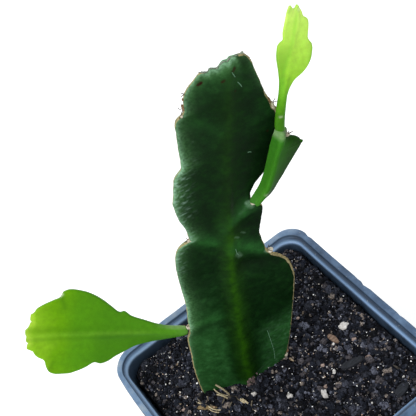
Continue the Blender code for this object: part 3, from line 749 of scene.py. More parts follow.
def grain_mix(name, roughness, specular, stops):
    """Peat and bark are matt, and sand and perlite only a little less so."""
    material, tree, shader, place = start_material(name, roughness, 1.45, specular)
    tone = add_node(tree, "ShaderNodeAttribute", attribute_name="tone")
    stuff = add_node(tree, "ShaderNodeValToRGB", {0: tone.outputs["Fac"]}, stops=stops)
    stuff.color_ramp.interpolation = "CONSTANT"
    inputs = {"Vector": place.outputs["Object"], "Scale": 1 / (0.6 * MM), "Detail": 5, "Roughness": 0.75}
    mottle = add_node(tree, "ShaderNodeTexNoise", inputs)
    shade = add_node(tree, "ShaderNodeMapRange", {0: mottle, 1: 0.38, 2: 0.64, 3: 0.3, 4: 3.1})
    colour = add_node(tree, "ShaderNodeVectorMath", {0: stuff, "Scale": shade}, operation="SCALE")
    rough = add_node(tree, "ShaderNodeBump", {"Height": mottle, "Distance": 0.3 * MM, "Strength": 1.0})
    wire(tree, shader, {"Base Color": colour, "Normal": rough})
    return material


crumb_mix = grain_mix(
    "composted_bark_crumbs",
    0.9,
    0.2,
    (
        (0.0, "08090d"), (0.2, "101219"), (0.4, "181b23"), (0.58, "22242b"), (0.72, "2e3039"),
        (0.83, "3c393c"), (0.9, "4a4c57"), (0.96, "6b625c"),
    ),
)
grit_mix = grain_mix(
    "sand_and_lime_grit",
    0.6,
    0.4,
    ((0.0, "77767a"), (0.3, "9a9898"), (0.5, "85766b"), (0.62, "bfb6ab"), (0.78, "e6e5e4"), (0.94, "a08672")),
)
fibre_mix = grain_mix(
    "peat_fibre",
    0.85,
    0.2,
    ((0.0, "15151a"), (0.35, "232227"), (0.65, "37332f"), (0.85, "544a40"), (0.95, "7f705c")),
)
print("mixes:", crumb_mix.name, grit_mix.name, fibre_mix.name)

# %% [markdown]
# The guide is the same relief as the bed, kept away from the wall by the size of a crumb. Coarse
# crumbs come first, then fine ones that fill in between them, then grit, and last flat flakes and
# fibres, which are only grains drawn out along one side.

# %% Scatter the grains


def scatter(name, half, density, smallest, largest, raggedness, sink, **values):
    """Strews one kind of grain inside a half width. Lengths are in mm, and density is for a mm2."""
    points, faces = soil_grid(90, half)
    guide = mesh_object("guide", points, faces, peat)
    if guide.data.polygons[0].normal.z < 0:
        guide.data.flip_normals()
    grains = grow(
        name, guide, scatter_tree, density=density * PER_MM2, smallest=smallest * MM, largest=largest * MM,
        raggedness=raggedness * MM, sink=sink * MM, **values,
    )
    settle(grains, "potting_soil")


PER_MM2 = 1e6  # the tree counts its grains for a square metre
scatter(
    "coarse_crumbs", 38.2, density=0.26, smallest=0.5, largest=1.7, proportions=(1.0, 0.85, 0.75),
    raggedness=2.6, sink=0.1, facets=2, seed=3, material=crumb_mix,
)
scatter(
    "fine_crumbs", 38.9, density=1.5, smallest=0.22, largest=0.85, proportions=(1.0, 0.9, 0.85),
    raggedness=1.2, sink=0.3, facets=1, seed=8, material=crumb_mix,
)
scatter(
    "grit", 38.6, density=0.2, smallest=0.1, largest=0.34, proportions=(1.0, 0.9, 0.8),
    raggedness=0.5, sink=0.75, facets=1, seed=21, material=grit_mix,
)
scatter(
    "bark_flakes", 37.4, density=0.05, smallest=0.7, largest=2.1, proportions=(1.0, 0.3, 0.2),
    raggedness=0.8, sink=0.5, facets=2, seed=34, material=fibre_mix,
)

# %% [markdown]
# ## The skin of the old stem
#
# An orchid cactus has no leaves: its flat stems do their work. The skin is a waxy cuticle, deep
# green high up, with a paler bloom low down, and yellow-green over the woody midrib. Old edges turn
# to tan cork, and years of knocks leave scars and brown spots. Painted sheen and painted glints lie
# pale along the left margin, where its glossy bulges catch the light, and the veins get a painted
# highlight on their ridges and painted shade in their hollows. The mesh will carry a value for each
# of these features at every point, so this material only has to mix their colours, and break them
# up with noise at 3 mm for the mottling of the cells and at 0.7 mm for the grain of the wax.

# %% Waxy cuticle with cork


def waxy_cuticle():
    """Plant wax has an IOR near 1.42. Its fine bloom scatters, so the gloss is dull and patchy."""
    material, tree, shader, place = start_material("waxy_old_cuticle", 0.38, 1.42, 0.045)
    spot = place.outputs["Object"]
    cells, patches, grain = (
        add_node(
            tree,
            "ShaderNodeTexNoise",
            {"Vector": spot, "Scale": 1 / (width * MM), "Detail": detail, "Roughness": uneven},
        )
        for width, detail, uneven in ((3, 7, 0.68), (17, 3, 0.5), (0.7, 3, 0.5))
    )
    deep, bloomed = (
        add_node(tree, "ShaderNodeValToRGB", {0: cells}, stops=stops)
        for stops in (
            ((0.3, "061a06"), (0.5, "09220a"), (0.7, "10300e")),
            ((0.3, "193f1a"), (0.5, "244f24"), (0.7, "346836")),
        )
    )
    bloom, vein = (
        add_node(tree, "ShaderNodeAttribute", attribute_name=each).outputs["Fac"]
        for each in ("bloom", "vein")
    )
    drift = add_node(tree, "ShaderNodeMapRange", {0: patches, 1: 0.3, 2: 0.7, 3: -0.12, 4: 0.12})
    share = add_node(tree, "ShaderNodeMath", {0: bloom, 1: drift}, operation="ADD", use_clamp=True)
    skin = add_node(tree, "ShaderNodeMix", {0: share, 6: deep, 7: bloomed}, data_type="RGBA")
    # Value, colour, the values where it starts and is full, its most, and the noise that breaks it up
    layers = (
        ("rib", "244c08", 0.0, 1.0, 1.0, cells),
        # The vein layer paints a highlight on the ridges of the veins
        ("vein", "2c662c", 0.0, 1.0, 0.6, cells),
        # The wax layer is painted sheen along the left margin, and the next one painted glints there, with a
        # few pale flecks on the right
        ("wax", "649a60", 0.0, 1.0, 1.0, grain),
        ("glints_and_flecks", "9dc0ad", 0.0, 1.0, 1.0, grain),
        ("scar", "7fa585", 0.15, 0.9, 0.5, grain),
        ("spot", "2a0f08", 0.15, 0.6, 1.0, cells),
        ("cork", "a89a70", 0.2, 0.75, 1.0, grain),
    )
    for name, colour, low, high, most, breakup in layers:
        value = add_node(tree, "ShaderNodeAttribute", attribute_name=name).outputs["Fac"]
        here = add_node(tree, "ShaderNodeMapRange", {0: value, 1: low, 2: high, 4: most})
        broken = add_node(tree, "ShaderNodeMapRange", {0: breakup, 1: 0.3, 2: 0.7, 3: 0.45, 4: 1.3})
        amount = add_node(tree, "ShaderNodeMath", {0: here, 1: broken}, operation="MULTIPLY", use_clamp=True)
        skin = add_node(tree, "ShaderNodeMix", {0: amount, 6: skin, 7: linear(colour)}, data_type="RGBA")
    # Painted shade: the skin is darkened in the hollows of the veins
    painted_hollow_shade = add_node(tree, "ShaderNodeMapRange", {0: vein, 1: -1, 2: 0, 3: 0.55, 4: 1})
    shaded = add_node(tree, "ShaderNodeVectorMath", {0: skin, "Scale": painted_hollow_shade}, operation="SCALE")
    gloss = add_node(tree, "ShaderNodeMapRange", {0: cells, 1: 0.3, 2: 0.7, 3: 0.3, 4: 0.52})
    relief = add_node(tree, "ShaderNodeBump", {"Height": cells, "Distance": 0.22 * MM, "Strength": 0.5})
    inputs = {"Height": grain, "Distance": 0.05 * MM, "Strength": 0.6, "Normal": relief}
    fine_relief = add_node(tree, "ShaderNodeBump", inputs)
    wire(tree, shader, {"Base Color": shaded, "Roughness": gloss, "Normal": fine_relief})
    return material


old_skin = waxy_cuticle()
print("mottling every 3 mm, wax grain every 0.7 mm")

# %% [markdown]
# ## A blade with two margins
#
# Each flat stem is a grid: rows climb along it, and columns run from one margin over the midrib to
# the other, closer together near the margins. Front and back share the points on the margins, and
# a strip closes each end. The stem and both flat shoots use this one maker.

# %% The blade maker


def blade_grid(low, high, pitch, columns):
    """Rows along a blade and columns across it, as shares from -1 at one margin to 1 at the other."""
    rows = np.linspace(low, high, int((high - low) / pitch) + 1)
    shares = np.linspace(-1, 1, columns)
    shares = np.sign(shares) * (1 - (1 - np.abs(shares)) ** 1.35)
    return np.meshgrid(rows, shares, indexing="ij")


def blade_object(name, front, back, material):
    """Joins the front and back grids of points of a blade into one closed mesh."""
    rows, columns = front.shape[:2]
    ahead = np.arange(rows * columns).reshape(rows, columns)
    behind = ahead.copy()
    behind[:, 1:-1] = rows * columns + np.arange(rows * (columns - 2)).reshape(rows, -1)
    points = np.concatenate([front.reshape(-1, 3), back[:, 1:-1].reshape(-1, 3)])
    faces = []
    for grid in (ahead, behind):
        corners = (grid[:-1, :-1], grid[:-1, 1:], grid[1:, 1:], grid[1:, :-1])
        faces += np.stack(corners, -1).reshape(-1, 4).tolist()
    for r in (0, -1):
        for c in range(columns - 1):
            loop = (ahead[r, c], ahead[r, c + 1], behind[r, c + 1], behind[r, c])
            faces.append([int(i) for i in dict.fromkeys(loop)])
    return mesh_object(name, points, faces, material, crease=75)


def both_faces(values):
    """A grid of values in the order of a blade's points."""
    return np.concatenate([values.ravel(), values[:, 1:-1].ravel()])


def lumps(points, size, seed=0.0):
    """Noise at many points, with lumps of a given size in millimetres."""
    flat = np.asarray(points, float).reshape(-1, 3) / size
    found = [noise.noise((x, y, z + seed)) for x, y, z in flat]
    return np.array(found).reshape(np.shape(points)[:-1])


print("five columns across a blade stand at", blade_grid(0, 1, 1, 5)[1][0].round(2))

# %% [markdown]
# ## The outline of the old stem
#
# The margins are lists of (height, distance across), measured from the middle of the foot. The
# rib leans to the right as it climbs. Cork follows the margins in a band whose width changes with
# the height: wide on the old right edge and round the areoles, and hardly there on the left.

# %% Measured margins
STEM_HEIGHT, BURIED = 143.7, 24  # mm over the soil, and mm below it
STEM_GRID, SHOOT_GRID = (0.42, 93), (0.28, 57)  # mm from row to row, and columns
LEFT_MARGIN = (
    (-24, -9), (-8, -13.6), (3.7, -15.6), (17.8, -14.6), (29.5, -12.8), (39.6, -11.3), (43.2, -9.7),
    (48.9, -8.6), (56.2, -7.1), (66.3, -6.0), (75.6, -4.7), (81.6, -3.0), (84.2, -1.0), (85.3, 2.0),
    (90.1, 2.3), (96.2, 1.7), (102.4, 1.9), (106.5, 3.1), (112.0, 5.0), (114.6, 7.6), (120.2, 8.6),
    (127.0, 9.8), (130.7, 10.6), (132.4, 13.0), (137.2, 14.4), (139.9, 16.0), (141.2, 17.3),
    (142.6, 18.7), (143.7, 20.2),
)
RIGHT_MARGIN = (
    (-24, 7), (-8, 12.4), (5.2, 16.3), (25, 22.4), (42.1, 26.4), (50.7, 27.5), (57.9, 27.0),
    (63.2, 24.4), (65.0, 22.8), (68.2, 21.7), (75.4, 21.4), (82.2, 23.2), (87.1, 24.6), (89.4, 22.8),
    (93.1, 22.2), (97.8, 24.4), (101.2, 28.0), (108.2, 31.4), (112.0, 33.0), (115.6, 33.9),
    (119.7, 34.5), (122.0, 34.8), (123.9, 34.1), (128.0, 33.3), (133.5, 32.7), (137.8, 32.2),
    (140.6, 31.9), (142.4, 31.2), (143.7, 30.2),
)
# How far the torn top edge sags: (distance across, sag)
TOP_EDGE = (
    (19.8, 0.5), (21.7, 1.6), (22.3, 0.9), (23.9, 1.6), (25.7, 0.5), (26.7, 0.8), (27.7, 0.1),
    (29.5, 0.2), (30.4, 0),
)
# Width of the cork band along each margin: (height, width)
LEFT_CORK = (
    (-24, 0.3), (0, 0.3), (30, 0.3), (42, 0.34), (47, 0.1), (52, 0.12), (62, 0.1), (67, 0.06),
    (82, 0.1), (85.5, 0.3), (90, 0.06), (112, 0.05), (128, 0.06), (131, 0.25), (136, 0.1), (143.7, 0.12),
)
RIGHT_CORK = (
    (-24, 0.4), (3, 0.45), (20, 0.4), (50, 0.5), (61, 0.62), (64, 0.8), (67, 0.5), (70, 0.12),
    (85, 0.1), (89, 0.3), (92, 0.4), (95, 0.1), (116, 0.12), (119, 0.4), (123, 0.8), (127, 0.45),
    (132, 0.12), (139, 0.2), (143.7, 0.5),
)

# How strong the painted sheen along the left margin is: (height, share)
LEFT_SHEEN = (
    (-24, 0.1), (21, 0.1), (33, 0.25), (40, 0.35), (45, 0.9), (48, 1.0), (55, 0.9), (61.5, 0.75),
    (68, 0.5), (74, 0.5), (84, 0.7), (90, 0.6), (97.6, 0.65), (102, 0.75), (106.4, 1.0), (110, 0.8),
    (114.8, 1.0), (118.5, 0.8), (123.5, 0.55), (130, 0.45), (136, 0.4), (140, 0.6), (143.7, 0.85),
)


def stem_rib(up):
    """How far across the midrib stands at a height."""
    return 1.0 + 0.10 * up + 0.000565 * up * up


def on_blade(across, up, front):
    """Points on the blade, which curls a little to the front towards its top."""
    curl = 7 * (np.maximum(up, 0) / STEM_HEIGHT) ** 2
    parts = ((across, ACROSS), (front + curl, FRONT), (up, UP))
    return FOOT + sum(np.asarray(length)[..., None] * way for length, way in parts)


def blade_wave(across, up, right):
    """How far the blade stands to the front where its margins wave to and fro."""
    side = np.where(right, 1.2, 3.6)
    return 0.7 * np.sin(up / 9.5 + side) * ((across - stem_rib(up)) / 18) ** 2 * smooth_step(2, 14, up)


def on_margin(margin, up, outward=0.0):
    """Points on one margin of the blade, or a little outside it."""
    right = margin is RIGHT_MARGIN
    across = curve_through(margin, up)
    shift = outward if right else -outward
    return on_blade(across + shift, up, blade_wave(across, up, right))


print("the stem stands", STEM_HEIGHT, "mm out of the soil")

# %% [markdown]
# ## Veins, scars and other marks
#
# Side veins leave the midrib for the areoles as low ridges, with a hollow under each. All marks on
# the skin are short strokes: two ends, a width and a strength. One function gives how near every
# point of the grid is to a stroke, and its result both lifts the surface and tints it. On the veins
# the tint is a painted highlight on each ridge and painted shade in each hollow.

# %% Strokes on the blade


def stroke(across, up, start, end, width, strength=1.0):
    """Its strength on a stroke between two (across, up) ends, and less over its width."""
    way = np.subtract(end, start)
    t = np.clip(((across - start[0]) * way[0] + (up - start[1]) * way[1]) / (way @ way), 0, 1)
    away = np.hypot(across - start[0] - t * way[0], up - start[1] - t * way[1])
    return strength * np.exp(-((away / width) ** 2))


# Two (across, up) ends, the width in mm and the strength
RIDGES = (
    ((13.5, 85.0), (21.9, 91.2), 2.8, 1.0), ((14.0, 76.0), (22.4, 67.0), 2.8, 0.9),
    ((0.5, 44.0), (-9.6, 45.8), 2.4, 0.6), ((8.0, 81.5), (2.6, 86.6), 2.4, 0.8),
    ((19.0, 124.0), (11.6, 131.0), 2.6, 0.2), ((24.0, 118.0), (33.2, 124.0), 2.6, 0.2),
)
# Hollows sink the surface, and the skin paints shade into them
HOLLOWS = (
    ((14.5, 84.5), (23.4, 82.0), 3.0, 0.9), ((13.5, 66.5), (22.8, 62.8), 2.8, 1.0),
    ((2.0, 40.5), (-10.2, 42.5), 2.4, 0.6), ((6.5, 92.0), (4.5, 99.0), 2.4, 0.5),
    ((26.0, 104.0), (27.0, 116.0), 5.0, 0.4), ((8.8, 12.0), (10.0, 24.0), 3.0, 0.3),
)
SPOTS = (
    ((18.7, 140.3), (19.3, 140.5), 0.5, 1.0), ((24.1, 138.8), (24.4, 139.0), 0.45, 0.9),
    ((27.2, 140.6), (27.5, 140.8), 0.5, 1.0), ((22.6, 91.6), (22.5, 92.8), 0.35, 0.7),
    ((31.2, 116.2), (31.3, 116.4), 0.35, 0.6), ((26.3, 134.0), (26.4, 134.2), 0.35, 0.5),
)
SCARS = (
    ((13.2, 72.6), (13.8, 70.4), 1.0, 0.55), ((14.2, 80.4), (15.2, 79.0), 0.4, 0.5),
    ((16.4, 80.6), (17.4, 79.6), 0.4, 0.5), ((21.2, 91.9), (22.0, 92.3), 0.6, 0.9),
    ((-9.0, 45.8), (-8.4, 45.0), 0.9, 0.7), ((21.6, 67.4), (22.4, 66.6), 0.9, 0.9),
    ((2.6, 85.6), (4.0, 86.2), 0.9, 0.5), ((12.6, 122.6), (12.9, 122.9), 0.5, 0.3),
    ((5.0, 4.0), (8.0, 5.5), 1.2, 0.25), ((11.5, 27.0), (17.0, 25.5), 2.4, 0.2),
    ((20.6, 92.2), (21.6, 89.4), 0.7, 0.8), ((18.0, 89.0), (21.0, 91.0), 1.4, 0.25),
)


def marks(across, up, strokes):
    """All strokes of a table together."""
    return np.clip(sum(stroke(across, up, *each) for each in strokes), 0, 1)


print(len(RIDGES), "veins,", len(SCARS), "scars and", len(SPOTS), "spots")

# %% [markdown]
# ## The old stem
#
# The thickness swells over the rib, is even over the blade and rounds off at the margins. The
# margins wave slightly to and fro. On top of that lie the veins with their hollows, short raised
# dashes that carry painted glints on two bulges of the left margin, and fine unevenness from noise.
# The mesh then gets the eight values that its skin reads: bloom, rib, vein (with painted light and
# shade), wax (painted sheen), glints and flecks, cork, scar and spot.

# %% Model the old stem


def stem_tints(up, share, across, middle, edge, flat, glint_dashes):
    """How strongly each feature of the skin shows at every point of the grid."""
    cork_width = np.where(share > 0, curve_through(RIGHT_CORK, up), curve_through(LEFT_CORK, up))
    cork_width = cork_width * (1 + 0.8 * lumps(flat, 2.5, 4.0)) + 0.7 * smooth_step(143.0, 143.6, up)
    off_rib = across - middle + 0.7 * lumps(flat, 9, 1.0)
    glow = 0.5 * np.exp(-((off_rib / 3.2) ** 2)) + 0.5 * np.exp(-((off_rib / 1.1) ** 2))
    fade = (0.25 + 0.75 * smooth_step(98, 76, up)) * smooth_step(-5, 8, up)
    glow *= fade * (1 + 0.4 * lumps(flat, 1.6, 6.0))
    bloom = smooth_step(-0.15, -0.5, share) * smooth_step(42, 30, up)
    bloom += 0.9 * smooth_step(0.12, 0.6, share) * smooth_step(36, 22, up)
    bloom += 0.5 * smooth_step(6, 1, up) + 0.5 * smooth_step(-0.2, -0.5, share) * smooth_step(72, 42, up)
    bloom = np.minimum(bloom, 1) + 0.6 * smooth_step(132, 142, up) * smooth_step(0.7, 0.3, share)
    from_edge = np.where(share < 0, edge, 9)
    from_edge = np.minimum(from_edge, STEM_HEIGHT - up + 6 * smooth_step(0.4, 0.9, share))
    # The wax value is painted sheen: a pale band that fades from the left margin and the top, with a little
    # more near the top right
    sheen_share = curve_through(LEFT_SHEEN, up)
    wax = 1.05 * sheen_share * np.exp(-from_edge / 1.6)
    wax += 0.3 * np.exp(-edge / 0.8) * smooth_step(0, 0.2, share) * smooth_step(128, 136, up)
    # Painted glints along the very edge of the left margin and on the dashes of its bulges, and pale flecks
    # on the right side where it is paler
    glints_and_flecks = 0.35 * sheen_share * np.exp(-((from_edge / 0.9) ** 2)) + 0.45 * glint_dashes
    flecks = 0.12 * np.maximum(0, lumps(flat * (1, 1, 1.4), 1.2, 12.0)) * smooth_step(0.3, 0.6, share)
    glints_and_flecks += flecks * bloom
    return {
        "bloom": bloom,
        "rib": glow,
        "wax": np.clip(wax, 0, 0.8),
        "glints_and_flecks": np.clip(glints_and_flecks, 0, 1),
        "cork": smooth_step(1.0, 0.4, edge / np.maximum(cork_width, 0.02)),
        "scar": marks(across, up, SCARS),
        "spot": marks(across, up, SPOTS),
    }


def make_old_stem():
    """Two grids of points, front and back, half a thickness either side of the wavy blade."""
    up, share = blade_grid(-BURIED, STEM_HEIGHT, *STEM_GRID)
    low, high, middle = curve_through(LEFT_MARGIN, up), curve_through(RIGHT_MARGIN, up), stem_rib(up)
    reach = np.abs(share)
    across = blend(middle, np.where(share > 0, high, low), reach)
    edge = np.where(share > 0, high - across, across - low)
    half = blend(1.15, 0.75, reach)
    rib = blend(3.0, 1.7, smooth_step(0, STEM_HEIGHT, up))
    half += (rib - half) * np.exp(-((reach / 0.2) ** 2))
    half *= 1 - 0.45 * smooth_step(STEM_HEIGHT - 6, STEM_HEIGHT, up)
    vein = marks(across, up, RIDGES) - marks(across, up, HOLLOWS)
    wave = blade_wave(across, up, share > 0)
    flat = np.stack([across, np.zeros_like(across), up], -1)
    # Short raised dashes on two bulges of the left margin, which carry painted glints
    bulge = smooth_step(-0.55, -0.95, share) * smooth_step(92, 98, up) * smooth_step(121, 110, up)
    bulge += 0.7 * smooth_step(-0.75, -0.98, share) * smooth_step(70, 76, up) * smooth_step(94, 88, up)
    glint_dashes = smooth_step(0.0, 0.5, lumps(flat * (0.6, 1, 1.8), 1.2, 3.0)) * bulge
    swell = 0.16 * lumps(flat, 7, 5.0) + 0.07 * lumps(flat, 2.2, 9.0)
    half += 0.28 * vein * (1 - reach**6) + 0.03 * glint_dashes + swell
    half = np.maximum(half, 0.35)
    half *= np.sqrt(1 - (1 - np.clip(edge / 0.75, 0, 1)) ** 2)
    sag = curve_through(TOP_EDGE, across) * smooth_step(STEM_HEIGHT - 6, STEM_HEIGHT, up)
    ragged = 0.12 * lumps(flat, 1.6, 2.0) * smooth_step(1.5, 0, edge) * np.sign(share)
    front = on_blade(across + ragged, up - sag, wave + half)
    back = on_blade(across + ragged, up - sag, wave - half)
    stem = blade_object("old_stem", front, back, old_skin)
    tints = stem_tints(up, share, across, middle, edge, flat, glint_dashes)
    for name, values in (("vein", vein), *tints.items()):
        add_values(stem, name, both_faces(values))
    settle(stem, "dark_green_skin", "main_stem")
    return stem


old_stem = make_old_stem()

# %% [markdown]
# ## Cork along the margins
#
# Cork isn't a stripe but a row of tiny warts. The guide is the margin itself, as a chain of edges
# that carries the width of the cork. The tree turns the chain into a curve, sets points on it at
# even steps, puts a wart on each that is as large as the cork is wide there, and roughens the lot.

# %% The tree that corks an edge


def cork_rows():
    """Warts at even steps along every chain, each as large as the width that is stored there."""
    tree, given, result = start_tree(
        "cork_rows",
        (("Spacing", "Float"), ("Raggedness", "Float"), ("Seed", "Int"), ("Material", "Material")),
    )
    chain = add_node(tree, "GeometryNodeMeshToCurve", {"Mesh": given["Geometry"]})
    inputs = {"Curve": chain, "Length": given["Spacing"]}
    steps = add_node(tree, "GeometryNodeResampleCurve", inputs, mode="LENGTH")
    width = add_node(tree, "GeometryNodeInputNamedAttribute", {"Name": "width"}, data_type="FLOAT")
    uneven, turn = (
        add_node(tree, "FunctionNodeRandomValue", {0: low, 1: high, "Seed": seed}, data_type="FLOAT_VECTOR")
        for low, high, seed in (
            ((0.5, 0.5, 0.5), (1.2, 1.2, 1.2), given["Seed"]),
            ((0, 0, 0), (math.tau, math.tau, math.tau), 4),
        )
    )
    scale = add_node(tree, "ShaderNodeVectorMath", {0: uneven, "Scale": width}, operation="SCALE")
    warts = balls_on(tree, steps, 2, turn, scale)
    inputs = {"Geometry": warts, "Offset": corner_jitter(tree, 0.6, given["Raggedness"])}
    rough = add_node(tree, "GeometryNodeSetPosition", inputs)
    inputs = {"Geometry": rough, "Material": given["Material"]}
    wire(tree, result, {0: add_node(tree, "GeometryNodeSetMaterial", inputs)})
    return tree


cork_tree = cork_rows()
print("cork inputs:", [s.name for s in cork_tree.interface.items_tree if s.in_out == "INPUT"])

# %% [markdown]
# Cork is dead, air-filled bark: matt, warm grey to tan, and darker in its cracks. The same
# material, with its own colours, serves the felt of the areoles, which is made of short hairs that
# are far too fine to show one by one.

# %% Cork and felt


def dry_tissue(name, dark, pale, size):
    """Cork and felt are full of air, so nothing shines, and the pattern is as wide as its grain."""
    material, tree, shader, place = start_material(name, 0.95, 1.4, 0.1)
    inputs = {"Vector": place.outputs["Object"], "Scale": 1 / (size * MM), "Detail": 5, "Roughness": 0.75}
    grain = add_node(tree, "ShaderNodeTexNoise", inputs)
    colour = add_node(tree, "ShaderNodeValToRGB", {0: grain}, stops=((0.33, dark), (0.62, pale)))
    cracks = add_node(tree, "ShaderNodeBump", {"Height": grain, "Distance": 0.15 * MM, "Strength": 0.8})
    wire(tree, shader, {"Base Color": colour, "Normal": cracks})
    return material


tan_cork = dry_tissue("tan_edge_cork", "5d5130", "b5a578", 0.9)
grey_cork = dry_tissue("weathered_grey_cork", "4a5348", "9aa392", 0.8)
areole_felt = dry_tissue("areole_felt", "9b8f74", "ded6c4", 0.7)
print("cork and felt:", tan_cork.name, grey_cork.name, areole_felt.name)

# %% Cork on the stem's edges


def cork_row(name, points, widths, raggedness, material, seed):
    """Warts along a chain of points, as large as the width at each; lengths are in millimetres."""
    guide = strands_guide([points])
    add_values(guide, "width", np.asarray(widths, np.float32) * MM)
    values = {"spacing": CORK_STEP * MM, "raggedness": raggedness * MM, "seed": seed, "material": material}
    settle(grow(name, guide, cork_tree, **values), "dark_green_skin")


CORK_STEP = 0.34  # mm from wart to wart
for name, margin, cork, low, high, material, seed in (
    ("cork_right_edge", RIGHT_MARGIN, RIGHT_CORK, -2, 68, tan_cork, 1),
    ("cork_left_edge", LEFT_MARGIN, LEFT_CORK, -2, 64, tan_cork, 2),
    ("cork_upper_right", RIGHT_MARGIN, RIGHT_CORK, 116, STEM_HEIGHT, tan_cork, 3),
    ("cork_upper_left", LEFT_MARGIN, LEFT_CORK, 129, STEM_HEIGHT, grey_cork, 5),
):
    up = np.linspace(low, high, 120)
    cork_row(name, on_margin(margin, up), 0.42 * curve_through(cork, up), 0.3, material, seed)
torn = np.linspace(19.8, 30.6, 40)
torn_top = on_blade(torn, STEM_HEIGHT - curve_through(TOP_EDGE, torn), 0 * torn)
cork_row("cork_torn_top", torn_top, 0.26 + 0.08 * np.sin(torn * 4), 0.5, grey_cork, 7)

# %% [markdown]
# ## The skins of the young shoots
#
# New growth is thin, soft and full of light, from lime at the youngest tip to grass green near the
# base. A ramp gives the colour along the shoot. The mesh says where it is in shade, where the paler
# midrib runs and where a mark is nearly white, and pores break the colour up at about 1.5 mm. On
# the winged shoot the midrib value is a painted highlight along its ridge, and on the left shoot
# the white value also paints a highlight along the top of the stalk.

# %% Young skin


def young_skin(name, stops, dark, pale, pale_share, specular):
    """Young cuticle has a low, even gloss, and light bleeds about 2 mm through the soft tissue."""
    material, tree, shader, place = start_material(name, 0.42, 1.4, specular)
    spot = place.outputs["Object"]
    pores, patches = (
        add_node(
            tree,
            "ShaderNodeTexNoise",
            {"Vector": spot, "Scale": 1 / (width * MM), "Detail": detail, "Roughness": uneven},
        )
        for width, detail, uneven in ((1.5, 5, 0.65), (8, 2, 0.5))
    )
    drift = add_node(tree, "ShaderNodeMapRange", {0: patches, 1: 0.3, 2: 0.7, 3: -0.04, 4: 0.04})
    at = add_node(tree, "ShaderNodeAttribute", attribute_name="along").outputs["Fac"]
    along = add_node(tree, "ShaderNodeMath", {0: at, 1: drift}, operation="ADD")
    skin = add_node(tree, "ShaderNodeValToRGB", {0: along}, stops=stops)
    for each, colour, most in (("shade", dark, 1.0), ("rib", pale, pale_share), ("pale", "dfe6c0", 0.85)):
        here = add_node(tree, "ShaderNodeAttribute", attribute_name=each).outputs["Fac"]
        inputs = {0: pores, 1: 0.3, 2: 0.7, 3: 0.75 * most, 4: 1.15 * most}
        broken = add_node(tree, "ShaderNodeMapRange", inputs)
        amount = add_node(tree, "ShaderNodeMath", {0: here, 1: broken}, operation="MULTIPLY", use_clamp=True)
        skin = add_node(tree, "ShaderNodeMix", {0: amount, 6: skin, 7: linear(colour)}, data_type="RGBA")
    mottling = add_node(tree, "ShaderNodeMapRange", {0: pores, 1: 0.25, 2: 0.75, 3: 0.86, 4: 1.14})
    mottled = add_node(tree, "ShaderNodeVectorMath", {0: skin, "Scale": mottling}, operation="SCALE")
    relief = add_node(tree, "ShaderNodeBump", {"Height": pores, "Distance": 0.06 * MM, "Strength": 0.6})
    wire(tree, shader, {"Base Color": mottled, "Normal": relief})
    bleed = {"Subsurface Weight": 0.12, "Subsurface Radius": (0.6, 1.0, 0.2), "Subsurface Scale": 2 * MM}
    wire(tree, shader, bleed)
    return material


left_skin = young_skin(
    "young_grass_green_skin",
    ((0.03, "5a9431"), (0.1, "4f8b1c"), (0.2, "488412"), (0.52, "48840c"), (0.68, "528f0a"),
     (0.82, "659d04"), (0.93, "84b61e"), (0.99, "a4cc3a")),
    dark="2c5f08", pale="9aca4a", pale_share=0.12, specular=0.1,
)
winged_skin = young_skin(
    "young_ridged_skin",
    ((0.03, "447f30"), (0.3, "36751c"), (0.8, "33721d"), (0.98, "3d7f34")),
    dark="1a3a0f", pale="55a02a", pale_share=0.4, specular=0.015,
)
lime_skin = young_skin(
    "youngest_lime_skin",
    ((0.02, "37700e"), (0.12, "3f770f"), (0.2, "4d8c12"), (0.32, "62a51a"), (0.48, "96cc38"),
     (0.68, "b0df4e"), (0.84, "bfe860"), (0.97, "cff072")),
    dark="4f9020", pale="79bd34", pale_share=0.45, specular=0.1,
)
print("three young skins")

# %% [markdown]
# ## The flat shoots
#
# Both flat shoots start as a round stalk and widen into a notched blade. The same maker builds
# them from their margins, which are reaches from the rib on either side, and bends them along
# their own length.

# %% The shoot maker


def shoot_frame(base, axis, face):
    """Turns a shoot's base and directions, given along the blade, into the pot's space."""
    turn = np.array([ACROSS, UP, FRONT])
    along = np.array(axis) @ turn
    out = np.array(face) @ turn
    along /= np.linalg.norm(along)
    out /= np.linalg.norm(out)
    side = np.cross(along, out)
    return FOOT + np.array(base) @ turn, along, side / np.linalg.norm(side), out


